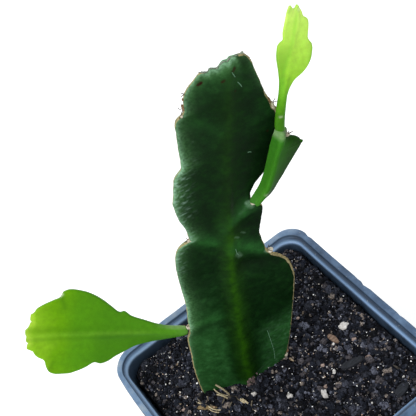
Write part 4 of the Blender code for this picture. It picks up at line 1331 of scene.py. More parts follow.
def make_shoot(name, frame, arch, length, margins, rib, tip_edge, flat_from, thickness, material):
    """A stalk that flattens into a blade. Gives the mesh, and the grid that its tints are made from."""
    origin, along, aside, out = frame
    at, share = blade_grid(0, length, *SHOOT_GRID)
    left, right = -curve_through(margins[0], at), curve_through(margins[1], at)
    middle = curve_through(rib, at)
    reach = np.abs(share)
    side = blend(middle, np.where(share > 0, right, left), reach)
    edge = np.where(share > 0, right - side, side - left)
    stalk = np.minimum((right - left) / 2, 1.7) * np.sqrt(np.maximum(0, 1 - reach**2))
    blade = thickness[1] + (thickness[0] - thickness[1]) * np.exp(-((reach / 0.22) ** 2))
    flat = np.stack([side, np.zeros_like(side), at], -1)
    blade = blade + 0.05 * lumps(flat, 3.5) + 0.02 * lumps(flat, 1.2, 3.0)
    blade *= np.sqrt(1 - (1 - np.clip(edge / 0.5, 0, 1)) ** 2)
    half = blend(stalk, blade, smooth_step(*flat_from, at))
    half *= 1 - 0.3 * smooth_step(length - 3, length, at)
    down = at - curve_through(tip_edge, side) * smooth_step(length - 4, length, at)
    unrest = 0.35 * lumps(flat, 12, 7.0) * (reach**2) * smooth_step(*flat_from, at)
    rise = arch * (down / length) ** 2 + unrest

    def face(half):
        parts = ((down, along), (side, aside), (half + rise, out))
        return origin + sum(size[..., None] * way for size, way in parts)

    shoot = blade_object(name, face(half), face(-half), material)
    add_values(shoot, "along", both_faces(at / length))
    return shoot, at, side, share, edge


print("a shoot that climbs straight up points to", shoot_frame((0, 0, 0), (0, 1, 0), (0, 0, 1))[1])

# %% [markdown]
# ## The left shoot
#
# It leaves the areole on the left margin, arches out over the rim of the pot and ends in a broad,
# scalloped blade. Shade lies in the hollows on both sides of its rib, in two folds at the far end,
# under the part of the stalk that turns from the light, and thinly round the edge. A painted
# highlight lies along the top edge of the stalk.

# %% Model the left shoot
LEFT_LENGTH = 50.4
LEFT_UPPER = (
    (0, 1.2), (1, 1.6), (5.7, 1.8), (9.5, 2.5), (14, 4.0), (18.2, 5.5), (20.6, 7.1), (21.6, 6.8),
    (24.7, 9.0), (26.8, 10.8), (30.2, 13.0), (33.5, 14.3), (37.2, 14.9), (39.4, 14.2), (40.3, 12.4),
    (42.2, 11.5), (45, 10.1), (47.2, 8.7), (48.8, 7.6), (50.4, 6.8),
)
LEFT_LOWER = (
    (0, 1.1), (1, 1.5), (4, 2.2), (8.2, 3.0), (12.5, 3.8), (16.2, 4.8), (19.5, 6.7), (22.5, 8.5),
    (24.8, 10.2), (27, 10.9), (28.8, 10.4), (31.5, 12.0), (34.2, 13.3), (37.2, 14.1), (40.2, 14.1),
    (42.6, 13.3), (43.8, 11.2), (44.3, 9.2), (46.1, 8.0), (47.9, 6.7), (49.2, 5.7), (50.4, 4.9),
)
# How far the scalloped end sags: (distance from the rib, sag)
LEFT_TIP = (
    (-5.6, 1.6), (-5.2, 1.1), (-4.3, 0.6), (-3.4, 0.8), (-2.8, 1.3), (-2.2, 0.5), (-1.4, 0.3),
    (-0.6, 0.6), (0.2, 0.2), (1.2, 0.0), (2.1, 0.7), (2.8, 1.1), (3.9, 1.5), (4.5, 2.0), (5.2, 1.4),
    (7.0, 1.6),
)
STRAIGHT = ((0, 0), (1, 0))
left_shoot, at, side, share, edge = make_shoot(
    "left_shoot_skin",
    shoot_frame((-10.44, 42.63, 0.65), (-0.893, 0.421, -0.159), (0.034, 0.416, 0.909)),
    arch=2.0, length=LEFT_LENGTH, margins=(LEFT_LOWER, LEFT_UPPER), rib=STRAIGHT, tip_edge=LEFT_TIP,
    flat_from=(5, 15), thickness=(1.15, 0.7), material=left_skin,
)
folds = 0.35 * stroke(side, at, (14.5, 40.6), (9.0, 38.6), 0.8)
folds = folds + 0.3 * stroke(side, at, (-13.0, 43.4), (-9.5, 41.5), 0.7)
under_rib = 0.25 * np.exp(-(((side + 1.3) / 0.8) ** 2)) * smooth_step(14, 26, at)
above_rib = 0.25 * np.exp(-(((side - 1.8) / 1.2) ** 2)) * smooth_step(24, 32, at)
turned = 0.75 * smooth_step(0.4, -0.9, share) * smooth_step(22, 9, at)
turned += 0.2 * smooth_step(0.1, -0.1, share) * smooth_step(14, 18, at) * smooth_step(32, 26, at)
shade = under_rib + above_rib + folds + turned + 0.15 * smooth_step(0.4, 0, edge)
rib_glow = np.exp(-(((side - 0.2) / 0.7) ** 2)) * smooth_step(8, 16, at)
nibble = stroke(side, at, (13.6, 39.6), (12.8, 40.3), 0.35, 0.5)
# Painted highlight along the top edge of the stalk, which faces the light
lit = 0.18 * smooth_step(0.5, 0.95, share) * smooth_step(12, 3, at)
for name, values in (("shade", np.clip(shade, 0, 1)), ("rib", rib_glow), ("pale", nibble + lit)):
    add_values(left_shoot, name, both_faces(values))
settle(left_shoot, "bright_green_skin", "left_shoot")

# %% [markdown]
# ## The lime shoot
#
# The youngest growth stands on top of the winged one. Its rib runs askew across the blade, and its
# notched end is cut unevenly. Shade lies left of the rib where the blade widens, along two short
# folds, at the lower edges, and on the right side of the stalk.

# %% Model the lime shoot
LIME_LENGTH = 32.4
LIME_LEFT = (
    (0, 1.4), (1, 1.6), (4.5, 1.8), (9.8, 1.7), (12.8, 1.9), (15.5, 2.4), (21.1, 3.5), (22.5, 3.5),
    (23.4, 3.1), (24.2, 2.3), (26.1, 2.5), (28.7, 2.3), (31.0, 2.1), (32.4, 1.8),
)
LIME_RIGHT = (
    (0, 1.1), (1, 0.9), (4.5, 0.6), (9.3, 0.5), (10.9, 0.7), (13.5, 1.7), (15.7, 3.8), (17.5, 4.9),
    (19.7, 5.4), (21.2, 5.4), (22.6, 5.1), (23.7, 4.2), (24.7, 3.8), (26.5, 3.7), (28.6, 3.4),
    (29.3, 2.9), (29.7, 2.2), (31.2, 1.5), (32.4, 0.7),
)
LIME_RIB = ((0, -0.2), (4.5, -0.5), (9.8, -0.6), (15, -0.2), (22, 0.1), (29.5, 0.8), (32.4, 0.3))
LIME_TIP = ((-1.6, 0.2), (-1.2, 0.1), (-0.6, 0.8), (-0.3, 0.9), (0.1, 0.3), (0.4, 0.0), (0.8, 0.3))
lime_shoot, at, side, share, edge = make_shoot(
    "lime_shoot_skin",
    shoot_frame((33.9, 119.0, 9.36), (0.343, 0.936, -0.077), (-0.015, 0.087, 0.996)),
    arch=-1.0, length=LIME_LENGTH, margins=(LIME_LEFT, LIME_RIGHT), rib=LIME_RIB, tip_edge=LIME_TIP,
    flat_from=(9, 15), thickness=(0.75, 0.5), material=lime_skin,
)
LIME_LINE = ((0, -0.4), (10, -1.0), (15.5, -1.15), (22, -0.3), (27.2, 0.1), (32.4, 0.2))
from_line = side - curve_through(LIME_LINE, at)
shade = 0.35 * smooth_step(0.3, -0.5, from_line) * smooth_step(10, 13, at) * smooth_step(25, 20, at)
shade += 0.25 * smooth_step(0.45, 0, edge) * smooth_step(28, 24, at)
shade += 0.4 * stroke(side, at, (5.2, 18.5), (5.3, 22.8), 0.7)
shade += 0.35 * stroke(side, at, (-1.8, 31.2), (-1.2, 32.2), 0.6)
shade += 0.4 * smooth_step(0.2, 1, share) * smooth_step(12, 4, at)
rib_glow = np.exp(-((from_line / 0.5) ** 2)) * smooth_step(6, 12, at)
flecks = stroke(side, at, (-1.0, 4.2), (-0.6, 4.3), 0.28, 0.45)
flecks = flecks + stroke(side, at, (0.6, 31.6), (0.7, 31.9), 0.3, 0.5)
for name, values in (("shade", shade), ("rib", rib_glow), ("pale", flecks)):
    add_values(lime_shoot, name, both_faces(np.clip(values, 0, 1)))
settle(lime_shoot, "lime_skin", "lime_shoot")

# %% [markdown]
# ## The winged shoot
#
# The shoot on the right areole isn't flat: it has three wings round a slim core, as seedlings and
# first growths often do. Rings of three blunt tips with hollow sides between them are strung along
# its curve, and each ring follows from how far its three wings reach.

# %% Rings with three wings
# Across, up and front of the core, then the reach of the left wing, front ridge and right wing
STATIONS = np.array((
    (23.0, 90.9, 1.4, 1.0, 0.8, 1.2), (23.1, 91.8, 1.8, 1.3, 1.3, 2.2), (23.4, 93.4, 2.5, 1.2, 1.6, 3.1),
    (24.6, 96.0, 3.4, 1.1, 1.8, 3.5), (26.2, 99.0, 3.9, 0.8, 2.0, 3.8), (27.6, 102.3, 4.2, 0.6, 2.1, 4.8),
    (28.8, 105.6, 4.3, 0.4, 2.3, 6.0), (29.9, 108.6, 4.3, 0.4, 2.5, 7.2), (30.8, 111.0, 4.3, 0.4, 2.6, 8.1),
    (31.5, 112.8, 4.3, 0.5, 2.6, 8.5), (32.4, 114.2, 4.3, 0.8, 2.5, 7.0), (33.1, 115.5, 4.4, 1.1, 2.2, 3.3),
    (33.8, 117.0, 4.5, 1.4, 1.8, 1.6), (34.1, 118.3, 4.5, 1.4, 1.4, 1.3), (34.1, 118.7, 4.5, 0.9, 0.8, 0.8),
))
ROUND_TIP, HOLLOW_SIDE = 5, 15  # points round a wing's tip, and along a side between two tips
BLUNT_MOST, BLUNT_SHARE = (0.35, 0.8, 0.5), (0.3, 0.45, 0.4)  # most radius, and share of the reach


def wing_ring(tips):
    """A closed ring of points round three blunt tips, with hollow sides between them."""
    heart = sum(tips) / 3
    ring = []
    for k, tip in enumerate(tips):
        before, after = tips[k - 1], tips[(k + 1) % 3]
        outward = (tip - heart) / np.linalg.norm(tip - heart)
        towards = (after - before) / np.linalg.norm(after - before)
        blunt = min(BLUNT_MOST[k], BLUNT_SHARE[k] * np.linalg.norm(tip - heart))
        shoulder = tip - outward * blunt
        for turn in np.linspace(-math.pi / 2, math.pi / 2, ROUND_TIP):
            ring.append(shoulder + towards * blunt * math.sin(turn) + outward * blunt * math.cos(turn))
        onward = tips[(k + 2) % 3] - tip
        end = after - onward / np.linalg.norm(onward) * blunt
        waist = blend(blend(ring[-1], end, 0.5), heart, 0.1)
        for t in np.linspace(0, 1, HOLLOW_SIDE + 2)[1:-1]:
            ring.append(ring_point(shoulder + towards * blunt, waist, end, t))
    return ring


def ring_point(start, waist, end, t):
    """A point of the curve that leaves start and meets end, drawn towards the waist."""
    return start * (1 - t) ** 2 + waist * 2 * t * (1 - t) + end * t * t


print("each ring has", 3 * (ROUND_TIP + HOLLOW_SIDE), "points")

# %% [markdown]
# How dim each point is follows from its place on the ring, because the side that faces the light is
# grass green and the other is nearly black. A painted highlight runs along the front ridge.

# %% Model the winged shoot
WING_RINGS = 90


def make_winged_shoot():
    """Strings the rings along the core, each square to it."""
    steps = np.linspace(0, len(STATIONS) - 1, WING_RINGS)
    columns = [curve_through(list(enumerate(column)), steps) for column in STATIONS.T]
    middles = on_blade(*columns[:3])
    points, along, shade, rib = [], [], [], []
    size = 3 * (ROUND_TIP + HOLLOW_SIDE)
    turn = np.arange(size) / size
    # Light falls with the turn from the right wing (0) over the ridge (1/3) to the left wing (2/3)
    dimness = curve_through(
        ((0, 1.0), (0.08, 1.0), (0.15, 0.9), (0.22, 0.72), (0.29, 0.5), (0.333, 0.33), (0.37, 0.12),
         (0.4, 0.0), (0.47, 0.05), (0.6, 0.1), (0.67, 0.25), (0.75, 0.55), (0.85, 0.8), (1, 1.0)),
        turn,
    )
    for i, middle in enumerate(middles):
        way = middles[min(i + 1, len(middles) - 1)] - middles[max(i - 1, 0)]
        way /= np.linalg.norm(way)
        side = np.cross(way, FRONT)
        side /= np.linalg.norm(side)
        out = np.cross(side, way)
        left, ridge, right = (column[i] for column in columns[3:])
        tips = [
            side * right - out * 0.25 * right,
            out * ridge - side * 0.1 * ridge,
            -side * left - out * min(1.7, 0.8 * ridge),
        ]
        points += [middle + point for point in wing_ring(tips)]
        along += [i / len(middles)] * size
        shade += list(dimness)
        # Painted highlight along the front ridge, where the ring is least dim
        rib += list(0.5 * np.exp(-(((turn - 0.4) / 0.04) ** 2)))
    faces = end_caps(len(points), size) + tube_faces(len(middles), size)
    shoot = mesh_object("winged_shoot_skin", points, faces, winged_skin, crease=75)
    across_up = np.array([((p - FOOT) @ ACROSS, (p - FOOT)[2]) for p in points])
    pale = stroke(across_up[:, 0], across_up[:, 1], (25.7, 97.6), (26.1, 97.3), 0.45, 0.5)
    collar = smooth_step(115.6, 117.4, across_up[:, 1])
    for name, values in (("along", along), ("shade", shade), ("rib", rib), ("pale", pale + 0.2 * collar)):
        add_values(shoot, name, values)
    settle(shoot, "mid_green_skin", "winged_shoot")


make_winged_shoot()

# %% [markdown]
# ## Areoles
#
# An areole is the short shoot from which a cactus grows everything: spines, flowers and branches.
# On an orchid cactus it is a felted cushion of 1 to 2 mm in each notch. Each is a small lump with a
# rough surface, and those that carry a shoot clasp its foot.

# %% Felt in the notches


def lump(centre, size, seed, knobs=0.25, level=3):
    """Points and faces of a knobbly ball, with a size along each of the blade's directions."""
    ball = bmesh.new()
    bmesh.ops.create_icosphere(ball, subdivisions=level, radius=1)
    points = []
    for vert in ball.verts:
        swell = 1 + knobs * noise.noise(vert.co * 1.8 + Vector((seed, 0, 0)))
        swell += 0.4 * knobs * noise.noise(vert.co * 4.5 + Vector((0, seed, 0)))
        ways = (ACROSS, UP, FRONT)
        points.append(np.array(centre) + sum(w * c * s * swell for w, c, s in zip(ways, vert.co, size)))
    faces = [[v.index for v in face.verts] for face in ball.faces]
    ball.free()
    return points, faces


def lump_group(name, lumps_made, material):
    """Joins many lumps into one mesh."""
    points, faces = [], []
    for some, joined in lumps_made:
        faces += [[i + len(points) for i in face] for face in joined]
        points += some
    return mesh_object(name, points, faces, material, crease=180)


# Across, up and front on the blade, then the size along, up and to the front
AREOLES = (
    (22.4, 91.2, 0.9, 0.9, 0.8, 0.9), (22.6, 66.1, 0.2, 1.1, 0.5, 0.9), (-9.5, 44.6, 0.2, 0.8, 0.8, 0.8),
    (2.2, 85.5, 0.2, 0.9, 0.4, 0.7), (34.1, 123.6, 0.2, 0.6, 1.3, 0.8), (12.6, 132.0, 0.0, 0.4, 0.4, 0.5),
    (16.3, 6.1, 0.3, 0.8, 0.8, 1.0), (35.1, 116.4, 4.9, 0.7, 0.5, 0.6),
)
felt = lump_group(
    "areole_cushions",
    [lump(on_blade(*spot[:3]), spot[3:], 3.0 * i) for i, spot in enumerate(AREOLES)],
    areole_felt,
)
settle(felt, "dark_green_skin")
# Old scabs sit on the margins: margin, height, then the size along, up and to the front
SCABS = (
    (RIGHT_MARGIN, 7.8, 0.7, 0.6, 0.8), (RIGHT_MARGIN, 3.8, 0.6, 0.8, 0.7),
    (LEFT_MARGIN, 134.2, 0.4, 1.2, 0.5), (LEFT_MARGIN, 136.8, 0.3, 0.4, 0.4),
    (RIGHT_MARGIN, 125.8, 0.4, 0.9, 0.6),
)
scabs = lump_group(
    "brown_scabs",
    [lump(on_margin(margin, up), size, 2.0 * i) for i, (margin, up, *size) in enumerate(SCABS)],
    dry_tissue("brown_scab", "4a3021", "96795a", 0.8),
)
settle(scabs, "dark_green_skin")

# %% [markdown]
# ## Bristles
#
# Young areoles carry a few dark bristles, 1 to 3 mm long and thinner than 0.1 mm. They are drawn
# 0.2 mm thick, because a finer one would be lost between two pixels. The guide is one chain of
# edges for each bristle, and the tree gives it a thickness that runs out to a point.

# %% The tree that grows bristles


def bristle_growth():
    """A tube along every chain, which tapers to a point."""
    tree, given, result = start_tree(
        "bristle_growth", (("Thickness", "Float"), ("Sides", "Int"), ("Material", "Material"))
    )
    lines = add_node(tree, "GeometryNodeMeshToCurve", {"Mesh": given["Geometry"]})
    along = add_node(tree, "GeometryNodeSplineParameter")
    taper = add_node(tree, "ShaderNodeMapRange", {0: along.outputs["Factor"], 3: 1.0, 4: 0.15})
    tapered = add_node(tree, "GeometryNodeSetCurveRadius", {"Curve": lines, "Radius": taper})
    half = add_node(tree, "ShaderNodeMath", {0: given["Thickness"], 1: 0.5}, operation="MULTIPLY")
    ring = add_node(tree, "GeometryNodeCurvePrimitiveCircle", {"Resolution": given["Sides"], "Radius": half})
    inputs = {"Curve": tapered, "Profile Curve": ring, "Fill Caps": True}
    hairs = add_node(tree, "GeometryNodeCurveToMesh", inputs)
    real = add_node(tree, "GeometryNodeRealizeInstances", {"Geometry": hairs})
    inputs = {"Geometry": real, "Material": given["Material"]}
    wire(tree, result, {0: add_node(tree, "GeometryNodeSetMaterial", inputs)})
    return tree


def draw_strands(name, strands, thickness, sides, material, slot):
    """Grows a strand so many millimetres thick along each chain of points."""
    fibres = grow(
        name, strands_guide(strands), bristle_tree, thickness=thickness * MM, sides=sides, material=material
    )
    settle(fibres, slot)


bristle_tree = bristle_growth()
HAIR = 0.2  # mm
print("bristle inputs:", [s.name for s in bristle_tree.interface.items_tree if s.in_out == "INPUT"])

# %% [markdown]
# Each tuft has a root and a heading on the blade, and its bristles spread round that heading by
# chance, with a fixed seed.

# %% Grow the tufts
chance = np.random.default_rng(17)
# Root, heading (across, up, front), length in mm and count
TUFTS = (
    (on_margin(LEFT_MARGIN, 134.0), (-0.8, -0.75, 0.2), 3.0, 2),
    (on_margin(LEFT_MARGIN, 138.4), (-1.0, 0.3, 0.3), 1.5, 2),
    (on_blade(35.3, 116.6, 5.0), (1.0, 0.5, 0.0), 1.6, 3),
    (on_margin(RIGHT_MARGIN, 124.2), (1.0, 0.4, 0.1), 1.5, 2),
    (on_margin(LEFT_MARGIN, 85.6), (-1.0, 0.5, 0.2), 1.8, 3),
    (on_margin(LEFT_MARGIN, 45.4), (-0.6, 0.9, 0.3), 1.5, 3),
    (on_blade(22.9, 91.8, 1.2), (0.6, 0.9, 0.5), 1.4, 3),
    (on_margin(RIGHT_MARGIN, 66.6), (0.5, 1.0, 0.2), 1.4, 2),
)
turn = np.array([ACROSS, UP, FRONT])
strands = []
for root, heading, length, count in TUFTS:
    for _ in range(count):
        way = np.array(heading) + chance.normal(0, 0.35, 3)
        way /= np.linalg.norm(way)
        bend = chance.normal(0, 0.3, 3)
        reach = length * chance.uniform(0.6, 1.1)
        start = root + chance.normal(0, 0.1, 3)
        strands.append([start + (way * t + bend * t * t) @ turn * reach for t in np.linspace(0, 1, 6)])
dark_bristle = dry_tissue("dark_bristle", "241811", "5d4028", 0.5)
draw_strands("areole_bristles", strands, HAIR, 5, dark_bristle, "dark_green_skin")

# %% [markdown]
# ## Scratches
#
# A few knocks have torn the wax in lines as thin as a hair. Points of each line are dropped onto the
# skin from the front, and the tree of the bristles draws a fine thread of scar tissue along them.

# %% Thread the scratches
skin_faces = BVHTree.FromObject(old_stem, bpy.context.evaluated_depsgraph_get())


def on_skin(across, up):
    """The point of the stem's front face that lies behind a point of the blade."""
    ahead = Vector(on_blade(across, up, 20.0) * MM)
    return np.array(skin_faces.ray_cast(ahead, Vector(-FRONT))[0]) / MM


# Ends and bends as (across, up)
SCRATCHES = (
    ((13.3, 25.3), (13.25, 21.3), (13.1, 15.8), (12.8, 11.1), (12.2, 6.8)),
    ((26.8, 140.3), (27.0, 139.3), (27.2, 138.4)), ((27.5, 136.3), (27.9, 135.2), (28.1, 134.4)),
    ((24.9, 111.4), (25.4, 111.3), (25.8, 111.0)), ((13.2, 75.5), (13.1, 73.5), (13.4, 71.8)),
)
threads = []
for line in SCRATCHES:
    across, up = np.array(line).T
    steps = np.linspace(0, len(line) - 1, 6 * len(line))
    spots = zip(curve_through(list(enumerate(across)), steps), curve_through(list(enumerate(up)), steps))
    threads.append([on_skin(*spot) for spot in spots])
scar_thread = dry_tissue("scar_thread", "3c6a48", "7fa68a", 0.6)
draw_strands("fine_scratches", threads, HAIR, 5, scar_thread, "dark_green_skin")

# %% [markdown]
# ## Straw
#
# Bits of dry straw lie at the foot of the stem. Straw is a hollow grass stem, split and crushed
# flat here, with a shine along its fibres. The fine pieces follow the solids' ends, with ridges
# along their length.

# %% Dry straw


def striped_fibre(name, dark, pale, heading, across_mm, along_mm, roughness):
    """Fibres run one way, so the noise is drawn out along the heading of the piece."""
    material, tree, shader, place = start_material(name, roughness, 1.45, 0.3)
    inputs = {
        "Vector": place.outputs["Object"],
        "Rotation": (0, 0, -math.radians(heading)),
        "Scale": (1 / (along_mm * MM), 1 / (across_mm * MM), 1 / (across_mm * MM)),
    }
    turned = add_node(tree, "ShaderNodeMapping", inputs)
    inputs = {"Vector": turned, "Scale": 1.0, "Detail": 5, "Roughness": 0.7}
    fibres = add_node(tree, "ShaderNodeTexNoise", inputs)
    colour = add_node(tree, "ShaderNodeValToRGB", {0: fibres}, stops=((0.32, dark), (0.64, pale)))
    ridges = add_node(tree, "ShaderNodeBump", {"Height": fibres, "Distance": 0.15 * MM, "Strength": 0.9})
    wire(tree, shader, {"Base Color": colour, "Normal": ridges})
    return material


def from_foot(across, front, up):
    """A point given by its distances from the middle of the stem's foot."""
    return FOOT + ACROSS * across + FRONT * front + UP * up


def make_straw(name, start, end, radius, material):
    """A crushed hollow stem: an oval tube with ribs, bowed a little, and cut at both ends."""
    a, b = from_foot(*start), from_foot(*end)
    along = (b - a) / np.linalg.norm(b - a)
    side = np.cross(along, UP)
    side /= np.linalg.norm(side)
    up = np.cross(side, along)
    turns = np.linspace(0, math.tau, STRAW_ROUND, endpoint=False)
    points = []
    for t in np.linspace(0, 1, STRAW_RINGS):
        middle = a + (b - a) * t + up * 0.5 * math.sin(math.pi * t)
        width = radius * (1 + 0.12 * noise.noise((t * 6, radius, 2.0)))
        for turn in turns:
            rib = 1 + 0.1 * math.cos(5 * turn)
            points.append(middle + (side * math.cos(turn) + up * 0.7 * math.sin(turn)) * width * rib)
    faces = tube_faces(STRAW_RINGS, STRAW_ROUND) + end_caps(len(points), STRAW_ROUND)
    straw = mesh_object(name + "_fine", points, faces, material, crease=45)
    settle(straw, "straw", name)


STRAW_ROUND, STRAW_RINGS = 18, 30  # points round a straw, and rings along it
dry_straw = striped_fibre("dry_straw", "8d7a58", "dccdaa", -60, 0.25, 4, 0.55)
make_straw("straw_leaning", (-10.3, 1.9, 7.5), (-7.4, 3.6, 0.5), 0.3, dry_straw)
make_straw("straw_low", (-11.4, 2.9, 3.2), (-8.2, 4.9, 0.5), 0.24, dry_straw)
make_straw("straw_flat", (-4.0, 6.7, 0.5), (-2.4, 9.5, 0.5), 0.3, dry_straw)

# %% [markdown]
# Round those three lie threads of the same straw, some bleached and some gone grey. They are thin
# enough for the tree of the bristles, and each runs through a few points on the soil.

# %% Loose threads of straw


def on_bed(x, y, up):
    """A point over the rough bed."""
    return np.array((x, y, soil_height(x, y) + up))


# Groups of threads: name, thickness in mm, two colours, and (x, y, height over the bed) of each end
THREADS = (
    ("bleached_threads", 0.42, "a08d68", "e0d3b2", (
        ((-17.4, 3.8, 0.6), (-16.9, 2.5, 0.4)), ((-25.6, 6.4, 0.5), (-22.7, 2.2, 0.5)),
        ((-26.0, 5.6, 0.4), (-23.2, 1.6, 0.4)), ((-20.6, 9.4, 1.2), (-18.0, 4.9, 0.6)),
        ((-15.2, 1.4, 0.6), (-14.4, -2.0, 0.5)), ((-15.6, 0.9, 0.5), (-14.9, -1.5, 0.6)),
        ((-27.6, 10.2, 0.5), (-26.6, 8.8, 0.5)),
    )),
    ("grey_threads", 0.5, "3d3a36", "8d8270", (
        ((-19.1, 5.2, 0.6), (-22.1, 2.4, 0.6)), ((-17.9, 2.3, 0.6), (-21.4, -0.4, 0.5)),
        ((-26.7, 11.4, 0.6), (-25.7, 7.1, 0.6)), ((-16.0, 3.0, 0.4), (-15.2, -0.2, 0.4)),
        ((-12.8, -2.4, 0.5), (-14.6, -5.6, 0.5)), ((-23.5, 9.0, 0.5), (-24.6, 5.6, 0.5)),
    )),
)
for name, thickness, dark, pale, ends in THREADS:
    threads = []
    for start, end in ends:
        a, b = on_bed(*start), on_bed(*end)
        bow = np.array((0.25 * (b - a)[1], -0.15 * (b - a)[0], 0.3))
        threads.append([blend(a, b, t) + bow * math.sin(math.pi * t) * 0.6 for t in np.linspace(0, 1, 9)])
    draw_strands(name, threads, thickness, 6, dry_tissue(name, dark, pale, 0.7), "straw")

# %% [markdown]
# ## Chips of wood and bark
#
# Composted bark breaks into splinters and flat chips. Each chip is a prism with a ragged outline,
# split along its grain into steps. The grain of its material runs along the chip's own heading.

# %% Chips
# Name, place, length by width by height in mm, heading, two colours and the material's slot
CHIPS = (
    ("wood_chip", (23.6, -3.4), (5.0, 2.1, 1.1), -80, "43342b", "8f7766", "wood_chip"),
    ("bark_chip_right", (22.0, -15.6), (8.4, 3.0, 1.6), -15, "16171b", "2f3238", "dark_bark"),
    ("bark_chip_front", (27.5, -34.0), (6.0, 3.4, 1.5), 10, "15171b", "30333a", "dark_bark"),
    ("bark_strip", (-26.4, 6.9), (7.0, 1.8, 0.9), -42, "57462f", "a8926b", "tan_bark"),
)


def on_soil(spot, heading, along, aside, up):
    """A point of a chip that lies on its level spot."""
    turn = math.radians(heading)
    x = spot[0] + along * math.cos(turn) - aside * math.sin(turn)
    y = spot[1] + along * math.sin(turn) + aside * math.cos(turn)
    return x, y, soil_level(*spot) + GAP + up


def make_chip(name, spot, size, heading, dark, pale, slot):
    """Rings of ragged points, a flat base, and a top closed by strips across it."""
    sides, levels = 44, (0.0, 0.15, 0.45, 0.8, 1.0)
    points = []
    for level in levels:
        for k in range(sides):
            along, aside = math.cos(math.tau * k / sides), math.sin(math.tau * k / sides)
            ragged = 1 + 0.18 * noise.noise((along * 1.7 + spot[0], aside * 1.7, level))
            ragged += 0.1 * noise.noise((along * 6 + spot[0], aside * 6, level * 3))
            reach = ragged * (1 - 0.22 * abs(level - 0.45)) / 2
            split = 0.12 * noise.noise((aside * 5, along, spot[1])) * level
            lift = size[2] * level * (1 - 0.25 * level * abs(along) + split)
            square = [math.copysign(abs(part) ** 0.8, part) for part in (along, aside)]
            along_mm, aside_mm = square[0] * size[0] * reach, square[1] * size[1] * reach
            points.append(on_soil(spot, heading, along_mm, aside_mm, lift))
    faces = [*tube_faces(len(levels), sides), tuple(range(sides))]
    top = (len(levels) - 1) * sides
    for i in range(sides // 2 - 1):
        faces.append((top + i, top + i + 1, top + sides - 2 - i, top + sides - 1 - i))
    fibre = striped_fibre(name + "_fibre", dark, pale, heading, 0.35, 3, 0.85)
    chip = mesh_object(name + "_fine", points, faces, fibre, crease=35)
    settle(chip, slot, name)


for chip in CHIPS:
    make_chip(*chip)

# %% [markdown]
# ## Perlite and pale grains
#
# Perlite is volcanic glass that was heated until it foamed. It is white, light as cork and
# knobbly, and dust from the peat greys it in patches. Beside the one large lump lie smaller grains,
# at listed places, each in three crumbs. Among them lie a few pinkish stones.

# %% Perlite


def soil_spot(x, y, up):
    """A point over the smooth crown of the bed."""
    return np.array((x, y, soil_level(x, y) + up))


foamed_glass = dry_tissue("foamed_volcanic_glass", "a09a96", "f0ece8", 0.8)
lump_points, lump_faces = lump(soil_spot(29.7, -2.4, 1.3), (1.75, 1.25, 1.5), 4.2, 0.3, 4)
perlite = mesh_object("perlite_lump_fine", lump_points, lump_faces, foamed_glass, crease=180)
settle(perlite, "perlite", "perlite_lump")
# x, y and size in mm
PALE_GRAINS = (
    (22.3, -5.3, 1.2), (15.2, -13.7, 1.8), (7.4, -18.2, 3.0), (-2.2, -10.0, 2.3), (-10.9, -1.0, 2.3),
    (31.3, -23.2, 1.2), (17.0, -31.0, 0.8), (12.5, -25.5, 0.7), (34.5, -12.0, 0.7), (5.4, -14.5, 0.8),
    (-22.0, 7.1, 0.7), (20.9, -6.8, 0.8), (31.0, -31.0, 0.9), (-31.0, 24.0, 0.7), (-30.0, 28.0, 0.8),
)
grains = []
for x, y, size in PALE_GRAINS:
    for _ in range(3):
        away = chance.uniform(-0.3, 0.3, 2) * size
        crumb = size * chance.uniform(0.22, 0.4, 3)
        spot = soil_spot(x + away[0], y + away[1], 0.6 + 0.3 * size)
        grains.append(lump(spot, crumb, chance.uniform(0, 50), 0.6, 2))
settle(lump_group("perlite_grains", grains, foamed_glass), "perlite")
# Pinkish and tan stones: x, y and size in mm
STONES = (
    (27.7, -17.6, 1.5), (38.0, 28.5, 1.9), (7.0, 4.4, 1.0), (33.5, -19.5, 1.2), (20.0, 12.0, 0.9),
    (9.5, -16.0, 1.3), (29.0, -8.5, 1.3), (22.0, 22.0, 0.8), (-33.0, 12.0, 1.0), (14.0, -9.0, 1.0),
)
stones = [
    lump(soil_spot(x, y, 0.5 + 0.2 * size), (size * 0.7, size * 0.42, size * 0.6), 5.1 * i, 0.35)
    for i, (x, y, size) in enumerate(STONES)
]
pinkish_stone = dry_tissue("pinkish_stone", "6d5850", "b39f95", 1.2)
settle(lump_group("pinkish_stones", stones, pinkish_stone), "perlite")

# %% [markdown]
# Watering has splashed a clump of crumbs onto the foot of the stem, where it sticks to the midrib.
# Each crumb is dropped onto the skin as the scratches were.

# %% Crumbs on the stem
clump = []
for _ in range(26):
    up = 4.2 * chance.uniform(0, 1) ** 1.4
    spot = on_skin(1.3 + 0.25 * up + chance.normal(0, 1.1), up) + FRONT * 0.2
    clump.append(lump(spot, chance.uniform(0.3, 0.75, 3), chance.uniform(0, 50), 0.6, 2))
splashed_peat = dry_tissue("splashed_peat", "1d1a1c", "85736f", 0.7)
settle(lump_group("splashed_crumbs", clump, splashed_peat), "potting_soil")

# %% [markdown]
# ## Floor and light
#
# The plant stands on white paper, which the lens alone sees a little brighter than it is, so that
# the shadows stay pale. The whole sky is a soft white, and one large lamp from the upper left gives
# the shoots their bright and dark sides, as a window or an open sky would. A weaker one from behind
# lifts the rim of the pot.

# %% Set the stage
scene = bpy.context.scene
scene.view_settings.view_transform = "Standard"
LIFT, HALF_FLOOR = 0.3, 3  # brightness added for the lens, and metres


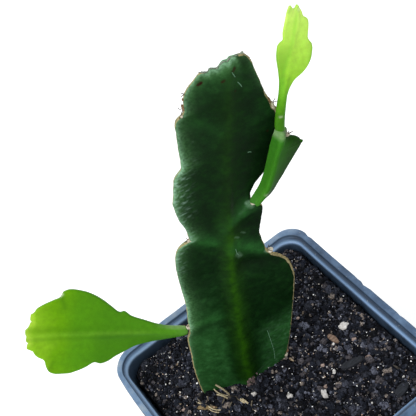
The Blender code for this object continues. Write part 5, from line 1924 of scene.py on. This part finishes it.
def paper():
    """Matt white paper, faintly uneven."""
    material, tree, shader, place = start_material("matt_white_paper", 0.9, 1.45, 0.1)
    cloud = add_node(tree, "ShaderNodeTexNoise", {"Vector": place.outputs["Object"], "Scale": 6, "Detail": 2})
    colour = add_node(tree, "ShaderNodeValToRGB", {0: cloud}, stops=((0.3, "fbfbfb"), (0.7, "fefefe")))
    seen = add_node(tree, "ShaderNodeLightPath").outputs["Is Camera Ray"]
    lift = add_node(tree, "ShaderNodeMath", {0: seen, 1: LIFT}, operation="MULTIPLY")
    wire(tree, shader, {"Base Color": colour, "Emission Color": (1, 1, 1, 1), "Emission Strength": lift})
    return material


plane = bpy.data.meshes.new("floor")
corners = [(HALF_FLOOR * x, HALF_FLOOR * y, 0) for x, y in ((-1, -1), (1, -1), (1, 1), (-1, 1))]
plane.from_pydata(corners, [], [(0, 1, 2, 3)])
plane.materials.append(paper())
floor = bpy.data.objects.new("floor", plane)
scene.collection.objects.link(floor)

world = bpy.data.worlds.new("soft_sky")
world.use_nodes = True
sky = world.node_tree.nodes["Background"]
wire(world.node_tree, sky, {"Color": (0.95, 0.98, 1, 1), "Strength": 0.79})
scene.world = world


def lamp(name, place, size, power, colour, aim=(0, 0, 0.1)):
    """A square lamp that is aimed at the middle of the plant. Lengths are in metres."""
    light = bpy.data.lights.new(name, "AREA")
    light.size, light.energy, light.color = size, power, colour
    obj = bpy.data.objects.new(name, light)
    obj.location = place
    obj.rotation_euler = (Vector(aim) - Vector(place)).to_track_quat("-Z", "Y").to_euler()
    scene.collection.objects.link(obj)


lamp("window_light", (-0.62, -0.12, 0.8), size=0.45, power=4.0, colour=(1, 0.99, 0.97))
lamp("rim_light", (0.25, 0.7, 0.55), size=0.5, power=1.2, colour=(0.9, 0.95, 1))
print("one sky and two lamps")

# %% [markdown]
# ## The camera
#
# The view was solved from the square rim of the pot: its four sides fix where the lens is and
# which way it points. It looks down at the plant from the front left, tilted a little to one side.

# %% Place the camera
FOCAL_PIXELS, PICTURE_PIXELS, SENSOR = 850, 416, 36
lens = bpy.data.cameras.new("camera")
lens.sensor_width = SENSOR
lens.lens = FOCAL_PIXELS / PICTURE_PIXELS * SENSOR
lens.clip_start = 0.01
camera = bpy.data.objects.new("camera", lens)
right, above, back = (0.7864, -0.5646, -0.2505), (0.5788, 0.5320, 0.6180), (-0.2157, -0.6310, 0.7452)
place = (-0.0498, -0.1446, 0.34868)
rows = [(right[i], above[i], back[i], place[i]) for i in range(3)]
camera.matrix_world = Matrix((*rows, (0, 0, 0, 1)))
scene.collection.objects.link(camera)
scene.camera = camera
print("lens", round(lens.lens, 1), "mm")
